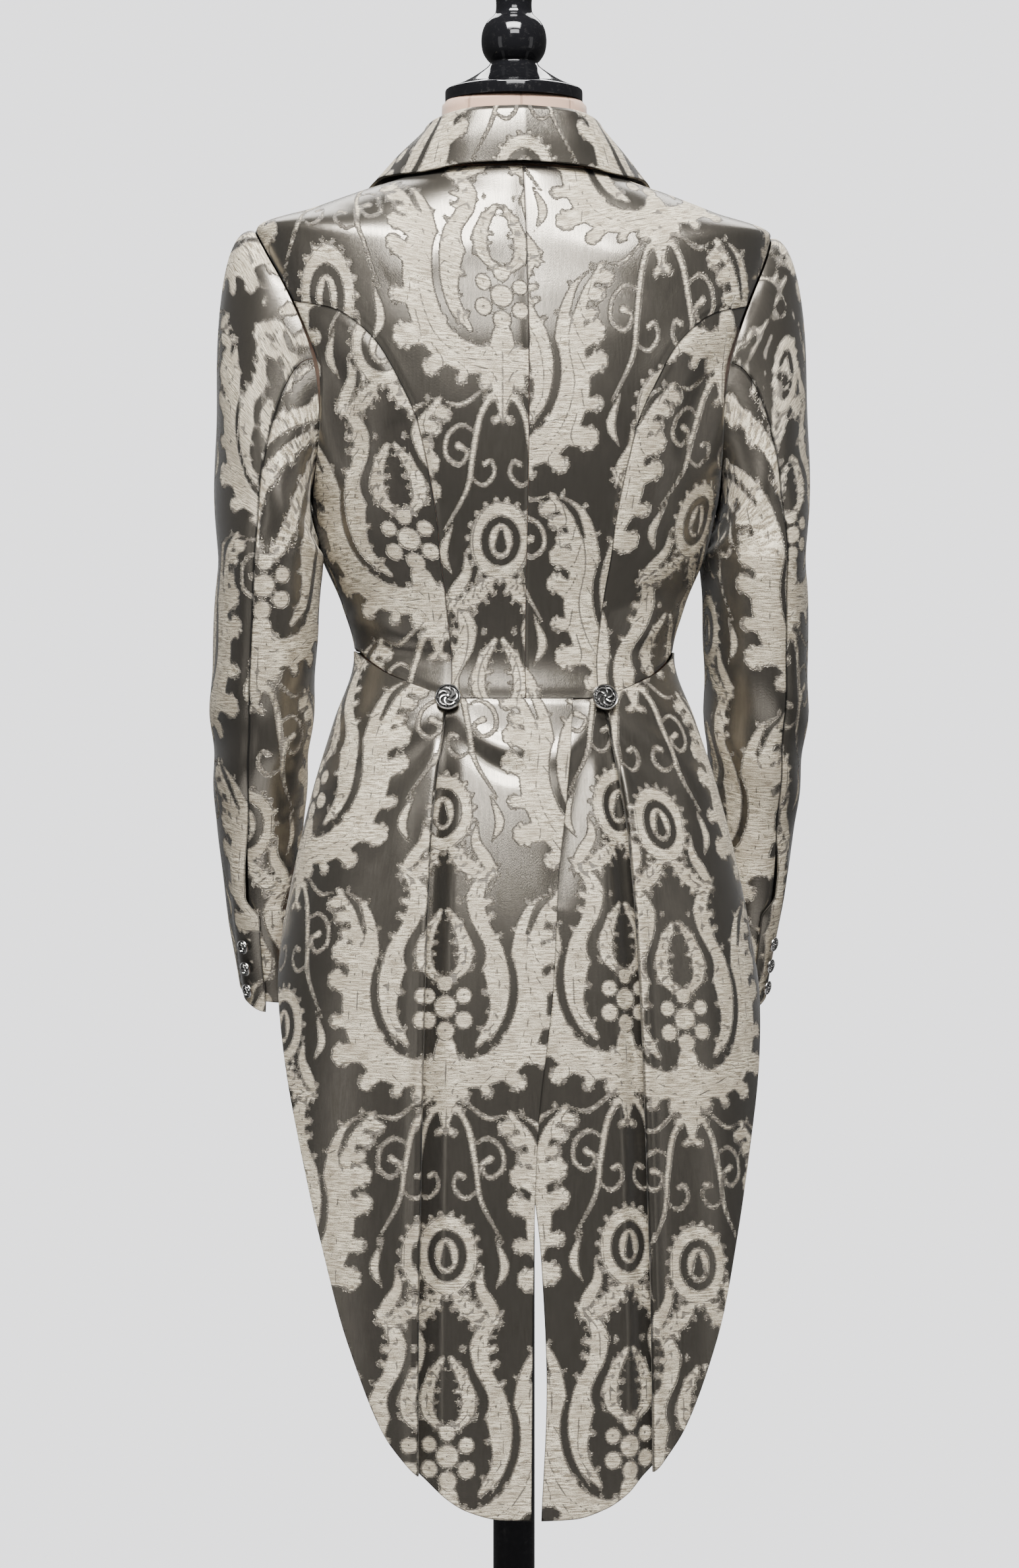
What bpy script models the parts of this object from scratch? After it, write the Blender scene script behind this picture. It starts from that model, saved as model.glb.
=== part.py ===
"""A fitted tailcoat on a limbless dress form, in metres, +Z up, front facing -Y.

The coat is cut like the real one: each panel is a region of one body surface, bounded by its
seams, and has a wall of its own. The body surface is given by rings from hem to neck. A place on
it has an angle, 0 at the centre back and 180 at the centre front, positive to the wearer's left
(+X), and a level, the height of its ring at the centre back.
"""

import math
from collections import namedtuple

import bmesh
import bpy
import numpy as np
from mathutils import Vector
from mathutils.bvhtree import BVHTree

WALL = 0.0014
SEAM_GAP = 0.0004
LAP_LIFT = 0.0023
MIDDLE = -WALL / 2

WAIST_HEIGHT = 1.0565
NECK_SEAM = 1.452
SHOULDER_LEVEL = 1.375
BREAK_LEVEL = 1.205
FRONT_LAP = 0.012
FRONT_CORNER = 170.0

ARMHOLE_MIDDLE = 1.2865
ARMHOLE_HALF_HEIGHT = 0.0885
ARMHOLE_BACK_DEPTH = 22.5
ARMHOLE_FRONT_DEPTH = 24.0
NECK_STEPS = 6
PRINCESS_STEPS = 12
FRONT_PRINCESS_STEPS = 9

PRINCESS_TURN = 56.0
FRONT_PRINCESS_TURN = 292.0
SIDE_SEAM_FOOT = 92.0

PLEAT_UNDERLAP = 0.014
PLEAT_LIFT = 0.0030
VENT_LIFT = 0.0010
LAPEL_START = 0.006
LAPEL_LIFT = 0.0024

BACK_BUTTON_RADIUS = 0.0103
FRONT_BUTTON_RADIUS = 0.0095
CUFF_BUTTON_RADIUS = 0.0056
FRONT_BUTTON_HEIGHTS = (1.110, 1.148, 1.186)
CUFF_BUTTON_HEIGHTS = (0.878, 0.8605, 0.843)
CUFF_BUTTON_TURN = -3.0
CUFF_BUTTON_SIDES = 10
BACK_BUTTON_ACROSS = 0.0575
BACK_BUTTON_HEIGHT = WAIST_HEIGHT - 0.0015
SEAT_SEARCH = 0.012
SEAT_GAP = 0.0003

FORM_BOTTOM = 0.765
FORM_TOP = 1.517
POLE_RADIUS = 0.016
BASE_RADIUS = 0.205
BASE_HEIGHT = 0.034
FINIAL_TOP = 1.624

# The coat's outer surface. back, front: y at the centre lines; centre: y of the widest place.
Ring = namedtuple("Ring", "level back front centre half side_level front_level square")
RINGS = [
    Ring(0.450, 0.1500, -0.115, 0.020, 0.2000, 0.450, 0.450, 2.35),
    Ring(0.600, 0.1440, -0.115, 0.019, 0.1990, 0.600, 0.600, 2.30),
    Ring(0.750, 0.1360, -0.115, 0.017, 0.1935, 0.750, 0.750, 2.25),
    Ring(0.830, 0.1300, -0.113, 0.015, 0.1865, 0.830, 0.830, 2.20),
    Ring(0.890, 0.1230, -0.111, 0.014, 0.1770, 0.890, 0.890, 2.20),
    Ring(0.940, 0.1135, -0.109, 0.013, 0.1670, 0.940, 0.940, 2.20),
    Ring(0.990, 0.1010, -0.106, 0.010, 0.1545, 0.990, 0.990, 2.20),
    Ring(1.040, 0.0860, -0.099, 0.006, 0.1385, 1.040, 1.040, 2.20),
    Ring(1.090, 0.0755, -0.093, 0.001, 0.1225, 1.090, 1.090, 2.20),
    Ring(1.130, 0.0790, -0.101, 0.000, 0.1325, 1.130, 1.130, 2.25),
    Ring(1.170, 0.0870, -0.119, -0.003, 0.1490, 1.170, 1.168, 2.35),
    Ring(1.200, 0.0930, -0.131, -0.003, 0.1560, 1.200, 1.197, 2.40),
    Ring(1.240, 0.0985, -0.137, -0.003, 0.1650, 1.242, 1.236, 2.45),
    Ring(1.280, 0.1010, -0.131, -0.003, 0.1760, 1.287, 1.268, 2.50),
    Ring(1.320, 0.1000, -0.117, -0.003, 0.1860, 1.336, 1.294, 2.50),
    Ring(1.355, 0.0950, -0.103, -0.003, 0.1955, 1.3860, 1.315, 2.45),
    Ring(1.375, 0.0905, -0.095, -0.003, 0.2000, 1.4150, 1.328, 2.40),
    Ring(1.403, 0.0835, -0.084, -0.002, 0.1560, 1.4325, 1.347, 2.40),
    Ring(1.431, 0.0755, -0.070, 0.000, 0.1190, 1.4460, 1.369, 2.30),
    Ring(1.452, 0.0670, -0.056, 0.002, 0.0880, 1.4565, 1.388, 2.20),
    Ring(1.473, 0.0595, -0.047, 0.003, 0.0680, 1.4715, 1.417, 2.10),
    Ring(1.494, 0.0550, -0.046, 0.003, 0.0610, 1.4930, 1.463, 2.05),
    Ring(1.517, 0.0535, -0.047, 0.003, 0.0585, 1.517, 1.517, 2.00),
]

# Seams and edges measured from behind: height, and distance from the centre line.
Seam = namedtuple("Seam", "height across")
PRINCESS = [
    Seam(1.349, 0.146),
    Seam(1.328, 0.118),
    Seam(1.295, 0.0975),
    Seam(1.258, 0.082),
    Seam(1.190, 0.068),
    Seam(1.120, 0.059),
    Seam(1.060, 0.056),
]
FRONT_PRINCESS = [
    Seam(1.290, 0.112),
    Seam(1.235, 0.088),
    Seam(1.170, 0.074),
    Seam(1.092, 0.060),
]
ROLL_LINE = [
    Seam(1.400, 0.064),
    Seam(1.330, 0.040),
    Seam(1.260, 0.016),
]
PLEAT = [
    Seam(0.450, 0.0870),
    Seam(0.580, 0.0865),
    Seam(0.700, 0.0840),
    Seam(0.840, 0.0800),
    Seam(0.950, 0.0740),
    Seam(1.030, 0.0630),
    Seam(1.066, 0.0570),
]
VENT_OUTER = [
    Seam(0.450, 0.0042),
    Seam(0.643, 0.0015),
    Seam(0.735, -0.0024),
    Seam(0.840, -0.0146),
    Seam(0.920, -0.0200),
    Seam(0.980, -0.0280),
    Seam(1.060, -0.0360),
]
VENT_INNER = [
    Seam(0.450, 0.0030),
    Seam(0.550, 0.0075),
    Seam(0.643, 0.0040),
    Seam(0.735, -0.0060),
    Seam(0.840, -0.0110),
    Seam(1.060, -0.0120),
]
LAPEL_OUTER = [
    Seam(1.262, 0.052),
    Seam(1.325, 0.090),
    Seam(1.376, 0.106),
]
GORGE = [
    Seam(1.386, 0.0700),
    Seam(1.376, 0.1060),
]

# The turn of the side tail at its pleat: distance from the pleat's edge, and out from the body.
Bend = namedtuple("Bend", "across out")
PLEAT_FOLD = [
    Bend(0.0120, 0.00040),
    Bend(0.0015, 0.00040),
    Bend(0.0003, 0.00075),
    Bend(0.0000, 0.00135),
    Bend(0.0003, 0.00195),
    Bend(0.0015, 0.00230),
]

# Edges given round the body: angle, and level.
Edge = namedtuple("Edge", "angle level")
WAIST = [
    Edge(0, 1.0565),
    Edge(33, 1.0568),
    Edge(45, 1.0610),
    Edge(60, 1.0715),
    Edge(90, 1.0940),
    Edge(135, 1.0930),
    Edge(180, 1.0880),
    Edge(200, 1.0880),
]
HEM = [
    Edge(0, 0.4500),
    Edge(12, 0.4510),
    Edge(22, 0.4575),
    Edge(32, 0.4750),
    Edge(43, 0.5060),
    Edge(54, 0.5800),
    Edge(61.5, 0.6550),
    Edge(70, 0.7400),
    Edge(79, 0.8150),
    Edge(90, 0.8850),
    Edge(110, 0.9600),
    Edge(130, 1.0130),
    Edge(150, 1.0480),
    Edge(170, 1.0730),
]

# How far the form's cover stays inside the coat's outer surface, by level.
Cover = namedtuple("Cover", "level gap")
FORM_COVER = [
    Cover(0.765, 0.0340),
    Cover(0.850, 0.0280),
    Cover(0.930, 0.0180),
    Cover(0.990, 0.0100),
    Cover(1.060, 0.0058),
    Cover(1.120, 0.0040),
    Cover(1.280, 0.0036),
    Cover(1.340, 0.0068),
    Cover(1.388, 0.0150),
    Cover(1.415, 0.0080),
    Cover(1.458, 0.0052),
    Cover(1.517, 0.0030),
]

# The collar's roll line and outer edge, from the centre back to the front end.
Fold = namedtuple("Fold", "share roll_x roll_y roll_z edge_x edge_y edge_z")
COLLAR = [
    Fold(0.00, 0.0000, 0.0605, 1.5050, 0.0000, 0.0765, 1.4668),
    Fold(0.20, 0.0330, 0.0535, 1.5040, 0.0410, 0.0705, 1.4650),
    Fold(0.40, 0.0565, 0.0310, 1.5010, 0.0800, 0.0470, 1.4590),
    Fold(0.60, 0.0655, 0.0010, 1.4970, 0.1010, 0.0020, 1.4580),
    Fold(0.80, 0.0680, -0.0310, 1.4700, 0.1160, -0.0418, 1.4372),
    Fold(1.00, 0.0640, -0.0610, 1.4280, 0.1073, -0.0792, 1.4005),
]

# Sleeve stations below the cap: centre, half sizes across and front to back, and tilt.
Station = namedtuple("Station", "height x y across deep tilt")
SLEEVE = [
    Station(1.165, 0.1880, -0.004, 0.0395, 0.0690, 0),
    Station(1.108, 0.1905, -0.012, 0.0395, 0.0640, 4),
    Station(1.035, 0.1930, -0.026, 0.0380, 0.0580, 9),
    Station(0.960, 0.1930, -0.047, 0.0330, 0.0525, 13),
    Station(0.890, 0.1860, -0.063, 0.0300, 0.0500, 14),
    Station(0.835, 0.1780, -0.074, 0.0290, 0.0490, 14),
]
# Where the sleeve's seams run round it, down its length: 0 is outermost, 90 the back.
Turn = namedtuple("Turn", "down back_seam front_seam")
SLEEVE_SEAMS = [
    Turn(0.00, 80, 235),
    Turn(0.35, 68, 235),
    Turn(0.65, 70, 238),
    Turn(1.00, 52, 240),
]
SIDE_SHARE = 0.6
COLLAR_GAP = 0.0012
CAP_SHARE = 0.35
VENT_SHARE = 0.84
VENT_LAP = 0.010
VENT_RISE = 0.0036
VENT_TIP = 0.016


def clear_scene():
    for obj in list(bpy.data.objects):
        bpy.data.objects.remove(obj, do_unlink=True)


def smooth(keys, values):
    """A smooth curve through the values that never overshoots them."""
    x = np.array(keys, float)
    y = np.array(values, float)
    run = np.diff(x)
    rise = np.diff(y) / run
    slope = np.empty_like(y)
    slope[0], slope[-1] = rise[0], rise[-1]
    same = rise[:-1] * rise[1:] > 0
    safe = np.where(same, rise[:-1] + rise[1:], 1.0)
    slope[1:-1] = np.where(same, 2 * rise[:-1] * rise[1:] / safe, 0.0)

    def at(where):
        where = np.clip(np.asarray(where, float), x[0], x[-1])
        i = np.clip(np.searchsorted(x, where, side="right") - 1, 0, len(x) - 2)
        t = (where - x[i]) / run[i]
        curve = y[i] * (1 + 2 * t) * (1 - t) ** 2 + y[i + 1] * t * t * (3 - 2 * t)
        return curve + run[i] * t * (1 - t) * (slope[i] * (1 - t) - slope[i + 1] * t)

    return at


def curves(rows):
    """One smooth curve for each column of a table, over its first column."""
    keys = [row[0] for row in rows]
    return {name: smooth(keys, [getattr(row, name) for row in rows]) for name in rows[0]._fields[1:]}


def ramp(value, start, end):
    """0 before start, 1 after end, and an even step between."""
    t = np.clip((np.asarray(value, float) - start) / (end - start), 0.0, 1.0)
    return t * t * (3 - 2 * t)


RING = curves(RINGS)
SLEEVE_AT = curves([Station(-row.height, *row[1:]) for row in SLEEVE])
SLEEVE_TURN = curves(SLEEVE_SEAMS)
waist_level = smooth([edge.angle for edge in WAIST], [edge.level for edge in WAIST])
hem_level = smooth([edge.angle for edge in HEM], [edge.level for edge in HEM])
cover_gap = smooth([row.level for row in FORM_COVER], [row.gap for row in FORM_COVER])


def across_at(table):
    rows = sorted(table)
    return smooth([row.height for row in rows], [row.across for row in rows])


pleat_across = across_at(PLEAT)


def ring_point(angle, level):
    """Points of the coat's outer surface."""
    turn = np.radians(angle)
    sin, cos = np.sin(turn), np.cos(turn)
    centre = RING["centre"](level)
    depth = np.where(cos > 0, RING["back"](level) - centre, centre - RING["front"](level))
    power = RING["square"](level)
    reach = (np.abs(sin) / RING["half"](level)) ** power + (np.abs(cos) / depth) ** power
    radius = reach ** (-1 / power)
    side = RING["side_level"](level)
    end = np.where(cos > 0, level, RING["front_level"](level))
    return np.stack([radius * sin, centre + radius * cos, side + (end - side) * cos**2], -1)


def normal_at(angle, level):
    around = ring_point(angle + 0.2, level) - ring_point(angle - 0.2, level)
    up = ring_point(angle, level + 0.0005) - ring_point(angle, level - 0.0005)
    normal = np.cross(up, around)
    return normal / np.linalg.norm(normal, axis=-1, keepdims=True)


def on_body(angle, level, out=0.0):
    """Points that lie out metres outside the coat's outer surface."""
    angle, level, out = np.broadcast_arrays(np.asarray(angle, float), level, out)
    return ring_point(angle, level) + normal_at(angle, level) * out[..., None]


def angle_of(across, level, front=False):
    """The angle at which a ring passes this far from the centre line."""
    across, level = np.broadcast_arrays(np.asarray(across, float), level)
    low, high = np.zeros(across.shape), np.full(across.shape, 90.0)
    for _ in range(30):
        middle = (low + high) / 2
        short = ring_point(180 - middle if front else middle, level)[..., 0] < np.abs(across)
        low, high = np.where(short, middle, low), np.where(short, high, middle)
    angle = (low + high) / 2 * np.where(across < 0, -1, 1)
    return 180 - angle if front else angle


def locate(table, front=False):
    """Angle and level of each seam point given by its height and distance from the centre."""
    height = np.array([row.height for row in table])
    across = np.array([row.across for row in table])
    level = height.copy()
    for _ in range(25):
        angle = angle_of(across, level, front)
        level = level + (height - ring_point(angle, level)[:, 2]) * 0.7
    return np.stack([angle, level], -1)


def length_of(points):
    """Distance run on the surface along a line of angles and levels."""
    step = np.diff(ring_point(points[:, 0], points[:, 1]), axis=0)
    return np.concatenate([[0.0], np.cumsum(np.linalg.norm(step, axis=1))])


def spaced(line, shares):
    run = length_of(line)
    at = np.asarray(shares) * run[-1]
    return np.stack([np.interp(at, run, line[:, 0]), np.interp(at, run, line[:, 1])], -1)


def flowing(points, count=80):
    """A smooth line through points."""
    run = length_of(points)
    at = np.linspace(0, run[-1], count)
    return np.stack([smooth(run, points[:, 0])(at), smooth(run, points[:, 1])(at)], -1)


def joined(*lines):
    return np.concatenate([lines[0]] + [line[1:] for line in lines[1:]])


def straight(start, end, count=40):
    return np.linspace(start, end, count)


def armhole(turn):
    """Angle and level round the armhole: 0 at the shoulder, 90 at the back, 180 under the arm."""
    turn = np.radians(turn)
    depth = np.where(np.sin(turn) > 0, -ARMHOLE_BACK_DEPTH, ARMHOLE_FRONT_DEPTH)
    angle = 90 + depth * np.abs(np.sin(turn)) ** 1.5
    return np.stack([angle, ARMHOLE_MIDDLE + ARMHOLE_HALF_HEIGHT * np.cos(turn)], -1)


def waist_line(start, end):
    angle = np.linspace(start, end, 60)
    return np.stack([angle, waist_level(angle)], -1)


def patch(bottom, top, left, right, across, up, hold=1):
    """A grid of angles and levels inside four edge lines. A hold over 1 keeps the top's bends near it."""
    low, high = spaced(bottom, across), spaced(top, across)
    near, far = spaced(left, up), spaced(right, up)
    u, v = np.asarray(across)[:, None], np.asarray(up)[:, None, None]
    ruled = (1 - u) * near[:, None] + u * far[:, None]
    low_bend = low - (1 - u) * low[0] - u * low[-1]
    high_bend = high - (1 - u) * high[0] - u * high[-1]
    return ruled + (1 - v) * low_bend + v**hold * high_bend


def by_parts(*parts):
    """Shares along joined lines, each line with its own count of steps and its ends kept."""
    lengths = [length_of(line)[-1] for line, _ in parts]
    ends = np.concatenate([[0.0], np.cumsum(lengths)]) / sum(lengths)
    steps = [np.linspace(ends[i], ends[i + 1], parts[i][1] + 1)[1:] for i in range(len(parts))]
    return np.concatenate([[0.0], *steps])


def shares(count, crowd=1.0):
    """Steps from 0 to 1. A crowd over 1 makes those near 1 shorter."""
    return 1 - (1 - np.linspace(0, 1, count + 1)) ** crowd


def trimmed(grid, sides="left right bottom top", gap=SEAM_GAP):
    """Draws the named edges of a grid of points back by half a seam gap."""
    moved = grid.copy()
    edges = {"left": (0, 1, 1), "right": (-1, -2, 1), "bottom": (0, 1, 0), "top": (-1, -2, 0)}
    for name in sides.split():
        edge, inner, axis = edges[name]
        rim = grid[:, edge] if axis else grid[edge]
        inside = (grid[:, inner] if axis else grid[inner]) - rim
        along = np.gradient(rim, axis=0)
        along /= np.linalg.norm(along, axis=1, keepdims=True)
        inside -= (inside * along).sum(1, keepdims=True) * along
        inside /= np.linalg.norm(inside, axis=1, keepdims=True)
        if axis:
            moved[:, edge] += inside * gap / 2
        else:
            moved[edge] += inside * gap / 2
    return moved


def material(name, color, roughness, metallic=0.0):
    made = bpy.data.materials.new(name)
    made.use_nodes = True
    shader = made.node_tree.nodes["Principled BSDF"]
    shader.inputs["Base Color"].default_value = (*color, 1.0)
    shader.inputs["Roughness"].default_value = roughness
    shader.inputs["Metallic"].default_value = metallic
    return made


def placed(name, mesh, finish, smooth_angle=40):
    obj = bpy.data.objects.new(name, mesh)
    obj.data.materials.append(finish)
    COAT.objects.link(obj)
    mesh.shade_smooth()
    mesh.set_sharp_from_angle(angle=math.radians(smooth_angle))
    return obj


def sheet_mesh(name, grid):
    """An open mesh over a grid of points, its faces turned as the grid runs."""
    rows, columns = grid.shape[:2]
    build = bmesh.new()
    points = [[build.verts.new(grid[r, c]) for c in range(columns)] for r in range(rows)]
    for r in range(rows - 1):
        for c in range(columns - 1):
            corners = (points[r][c], points[r][c + 1], points[r + 1][c + 1], points[r + 1][c])
            build.faces.new(corners)
    mesh = bpy.data.meshes.new(name)
    build.to_mesh(mesh)
    build.free()
    return mesh


def cloth(name, grid, side, finish):
    """A cloth wall over a grid of points, mirrored in X for the wearer's right side."""
    points = grid * np.array([side, 1.0, 1.0])
    obj = placed(name, sheet_mesh(name, points if side < 0 else points[:, ::-1]), finish)
    wall = obj.modifiers.new("wall", "SOLIDIFY")
    wall.thickness = WALL
    wall.offset = 0.0
    return obj


def side_name(side):
    return "left" if side > 0 else "right"


def princess_line():
    start = armhole(PRINCESS_TURN)[None]
    line = flowing(np.concatenate([start, locate(PRINCESS)]))
    line[-1, 1] = waist_level(line[-1, 0])
    return line[::-1]


def front_princess_line():
    start = armhole(FRONT_PRINCESS_TURN)[None]
    line = flowing(np.concatenate([start, locate(FRONT_PRINCESS, front=True)]))
    line[-1, 1] = waist_level(line[-1, 0])
    return line[::-1]


def roll_line():
    """From the break point up to the neck seam at the shoulder."""
    break_angle = 180 + math.degrees(FRONT_LAP / 0.13)
    ends = np.array([[90.0, NECK_SEAM]]), np.array([[break_angle, BREAK_LEVEL]])
    return flowing(np.concatenate([ends[0], locate(ROLL_LINE, front=True), ends[1]]))[::-1]


def armhole_line(start, end):
    return armhole(np.linspace(start, end, 40))


def front_out(points, side):
    """How far the right front is lifted where it laps over the left one."""
    if side > 0:
        return np.zeros(points.shape[:-1])
    across = points[..., 0]
    return LAP_LIFT * (1 - ramp(across, FRONT_LAP + 0.004, 0.042))


def back(side, finish):
    princess = princess_line()
    above = armhole_line(PRINCESS_TURN, 0)
    shoulder = straight((90.0, SHOULDER_LEVEL), (90.0, NECK_SEAM))
    neck = straight((0.0, NECK_SEAM), (90.0, NECK_SEAM))
    grid = patch(
        bottom=waist_line(0, princess[0, 0]),
        top=joined(neck, shoulder[::-1]),
        left=straight((0.0, WAIST_HEIGHT), (0.0, NECK_SEAM)),
        right=joined(princess, above),
        across=by_parts((neck, NECK_STEPS), (shoulder, 4)),
        up=by_parts((princess, PRINCESS_STEPS), (above, 3)),
        hold=4,
    )
    points = on_body(grid[..., 0], grid[..., 1], MIDDLE)
    return cloth("back_" + side_name(side), trimmed(points), side, finish)


def side_back(side, finish):
    princess = princess_line()
    grid = patch(
        bottom=waist_line(princess[0, 0], SIDE_SEAM_FOOT),
        top=armhole_line(PRINCESS_TURN, 180),
        left=princess,
        right=straight((SIDE_SEAM_FOOT, waist_level(SIDE_SEAM_FOOT)), tuple(armhole(180.0))),
        across=shares(6),
        up=shares(PRINCESS_STEPS),
    )
    points = on_body(grid[..., 0], grid[..., 1], MIDDLE)
    return cloth("side_back_" + side_name(side), trimmed(points), side, finish)


def side_front(side, finish):
    princess = front_princess_line()
    grid = patch(
        bottom=waist_line(SIDE_SEAM_FOOT, princess[0, 0]),
        top=armhole_line(180, FRONT_PRINCESS_TURN),
        left=straight((SIDE_SEAM_FOOT, waist_level(SIDE_SEAM_FOOT)), tuple(armhole(180.0))),
        right=princess,
        across=shares(5),
        up=shares(FRONT_PRINCESS_STEPS),
    )
    points = on_body(grid[..., 0], grid[..., 1], MIDDLE)
    return cloth("side_front_" + side_name(side), trimmed(points), side, finish)


def front(side, finish):
    princess = front_princess_line()
    roll = roll_line()
    above = armhole_line(FRONT_PRINCESS_TURN, 360)
    foot = 180 + math.degrees(FRONT_LAP / 0.095)
    grid = patch(
        bottom=waist_line(princess[0, 0], foot),
        top=straight((90.0, SHOULDER_LEVEL), (90.0, NECK_SEAM)),
        left=joined(princess, above),
        right=joined(straight((foot, waist_level(foot)), tuple(roll[0])), roll),
        across=shares(9, 1.25),
        up=by_parts((princess, FRONT_PRINCESS_STEPS), (above, 4)),
    )
    flat = on_body(grid[..., 0], grid[..., 1], 0.0)
    points = on_body(grid[..., 0], grid[..., 1], MIDDLE + front_out(flat, side))
    return cloth("front_" + side_name(side), trimmed(points), side, finish)


def lapel(side, finish):
    """The turned-back front edge, from the break point to the gorge, lying on the front."""
    roll = roll_line()
    gorge = locate(GORGE, front=True)
    top = np.argmin(np.abs(roll[:, 1] - gorge[0, 1]) + np.abs(roll[:, 0] - gorge[0, 0]) / 500)
    first = np.argmax(ring_point(roll[:, 0], roll[:, 1])[:, 0] > LAPEL_START)
    inner = roll[first : top + 1]
    outer = flowing(np.concatenate([inner[:1] - [[4.0, 0.0]], locate(LAPEL_OUTER, front=True)]))
    grid = patch(
        bottom=straight(inner[0], outer[0]),
        top=straight(inner[-1], outer[-1]),
        left=inner,
        right=outer,
        across=shares(4),
        up=shares(9),
    )
    flat = on_body(grid[..., 0], grid[..., 1], 0.0)
    out = front_out(flat, side) + LAPEL_LIFT + MIDDLE
    points = on_body(grid[..., 0], grid[..., 1], out)
    return cloth("lapel_" + side_name(side), points[:, ::-1], side, finish)


def seam_round_neck(share):
    """The neck seam and the top of the roll line, by the collar's shares."""
    back_part = straight((0.0, NECK_SEAM), (90.0, NECK_SEAM))
    roll = roll_line()[::-1]
    front_part = roll[: int(len(roll) * 0.30)]
    at_back = np.clip(share / SIDE_SHARE, 0, 1)
    at_front = np.clip((share - SIDE_SHARE) / (1 - SIDE_SHARE), 0, 1)
    return np.where((share < SIDE_SHARE)[:, None], spaced(back_part, at_back), spaced(front_part, at_front))


def collar(finish):
    """A stand that rises from the neck seam, rolls over and falls to the outer edge."""
    fold = curves(COLLAR)
    at_front = np.linspace(SIDE_SHARE, 1, 5)
    share = np.concatenate([np.linspace(0, SIDE_SHARE, NECK_STEPS + 1), at_front[1:]])
    seam = seam_round_neck(share)
    foot = on_body(seam[:, 0], seam[:, 1], MIDDLE)
    away = np.cross(np.gradient(foot, axis=0), normal_at(seam[:, 0], seam[:, 1]))
    foot += away / np.linalg.norm(away, axis=1, keepdims=True) * COLLAR_GAP
    roll = np.stack([fold[name](share) for name in ("roll_x", "roll_y", "roll_z")], -1)
    edge = np.stack([fold[name](share) for name in ("edge_x", "edge_y", "edge_z")], -1)
    outward = edge - foot
    outward[:, 2] = 0
    outward /= np.linalg.norm(outward, axis=1, keepdims=True)
    rise = np.array([0, 0, 1.0])
    stand_top = roll - outward * 0.0035 - rise * 0.006
    arc = [roll - outward * 0.0018 - rise * 0.0012, roll, roll + outward * 0.0022 - rise * 0.0012]
    fall_top = roll + outward * 0.0045 - rise * 0.005
    middle = (fall_top + edge) / 2 + outward * 0.0015 + rise * 0.001
    rows = [foot, (foot + stand_top) / 2, stand_top, *arc, fall_top, middle, edge]
    half = np.stack(rows)
    half[:, 0, 0] = 0.0
    other = half[:, :0:-1] * np.array([-1.0, 1.0, 1.0])
    grid = np.concatenate([other, half], axis=1)
    return cloth("collar", grid, -1, finish)


def tail_grid(edge, columns, rows):
    """Angle and level over a centre tail, from its vent edge to under the pleat."""
    vent = across_at(edge)
    up = shares(rows, 1.5)[:, None] * np.ones(len(columns))
    level = 0.45 + (WAIST_HEIGHT - 0.45) * up
    for _ in range(4):
        left, right = vent(level), pleat_across(level) + PLEAT_UNDERLAP
        across = left + (right - left) * np.array(columns)
        angle = angle_of(across, level)
        low, high = hem_level(np.abs(angle)), waist_level(np.abs(angle))
        level = low + (high - low) * up
    return angle, level, across


def tail_centre(side, finish):
    edge = VENT_OUTER if side > 0 else VENT_INNER
    columns = [0, 0.14, 0.3, 0.46, 0.62, 0.76, 0.88, 1]
    angle, level, across = tail_grid(edge, columns, 14)
    under_pleat = ramp(across - pleat_across(level), -0.016, -0.003)
    overlap = ramp(level, 0.56, 0.65)
    if side > 0:
        vent = VENT_LIFT * (1 - ramp(across, 0.012, 0.036)) * overlap
    else:
        vent = -VENT_LIFT * (1 - ramp(across, 0.038, 0.058)) * overlap
    points = on_body(angle, level, MIDDLE + vent - 0.0008 * under_pleat)
    return cloth("tail_centre_" + side_name(side), trimmed(points, "top"), side, finish)


def tail_side(side, finish):
    """The side tail: folded back under itself at the pleat, cut away to the front corner."""
    body = [0.011, 0.026]
    spread = [0.1, 0.2, 0.31, 0.43, 0.56, 0.70, 0.85, 1.0]
    rows = 14
    up = shares(rows, 1.5)[:, None]
    columns = len(PLEAT_FOLD) + len(body) + len(spread)
    level = np.repeat(0.46 + (WAIST_HEIGHT - 0.46) * up, columns, axis=1)
    near = np.array([point.across for point in PLEAT_FOLD] + body)
    for _ in range(6):
        pleat = pleat_across(level)
        first = angle_of(pleat[:, : len(near)] + near, level[:, : len(near)])
        start = angle_of(pleat[:, len(near) :] + body[-1], level[:, len(near) :])
        rest = start + (FRONT_CORNER - start) * np.array(spread)
        angle = np.concatenate([first, rest], axis=1)
        low, high = hem_level(angle), waist_level(angle)
        level = low + (high - low) * up
    last = len(PLEAT_FOLD)
    lift = PLEAT_LIFT * (1 - ramp(np.arange(columns), last - 1, columns - 5))
    out = MIDDLE + lift
    out[:last] = [point.out for point in PLEAT_FOLD]
    points = on_body(angle, level, np.broadcast_to(out, level.shape))
    return cloth("tail_side_" + side_name(side), trimmed(points, "top"), side, finish)


def sleeve_ring(turn, height):
    """Points of the sleeve below its cap."""
    at = {name: curve(-np.asarray(height)) for name, curve in SLEEVE_AT.items()}
    turn = np.radians(turn)
    tilt = np.radians(at["tilt"])
    deep = at["deep"] * np.sin(turn)
    x = at["x"] + at["across"] * np.cos(turn)
    return np.stack(np.broadcast_arrays(x, at["y"] + deep * np.cos(tilt), height - deep * np.sin(tilt)), -1)


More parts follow.
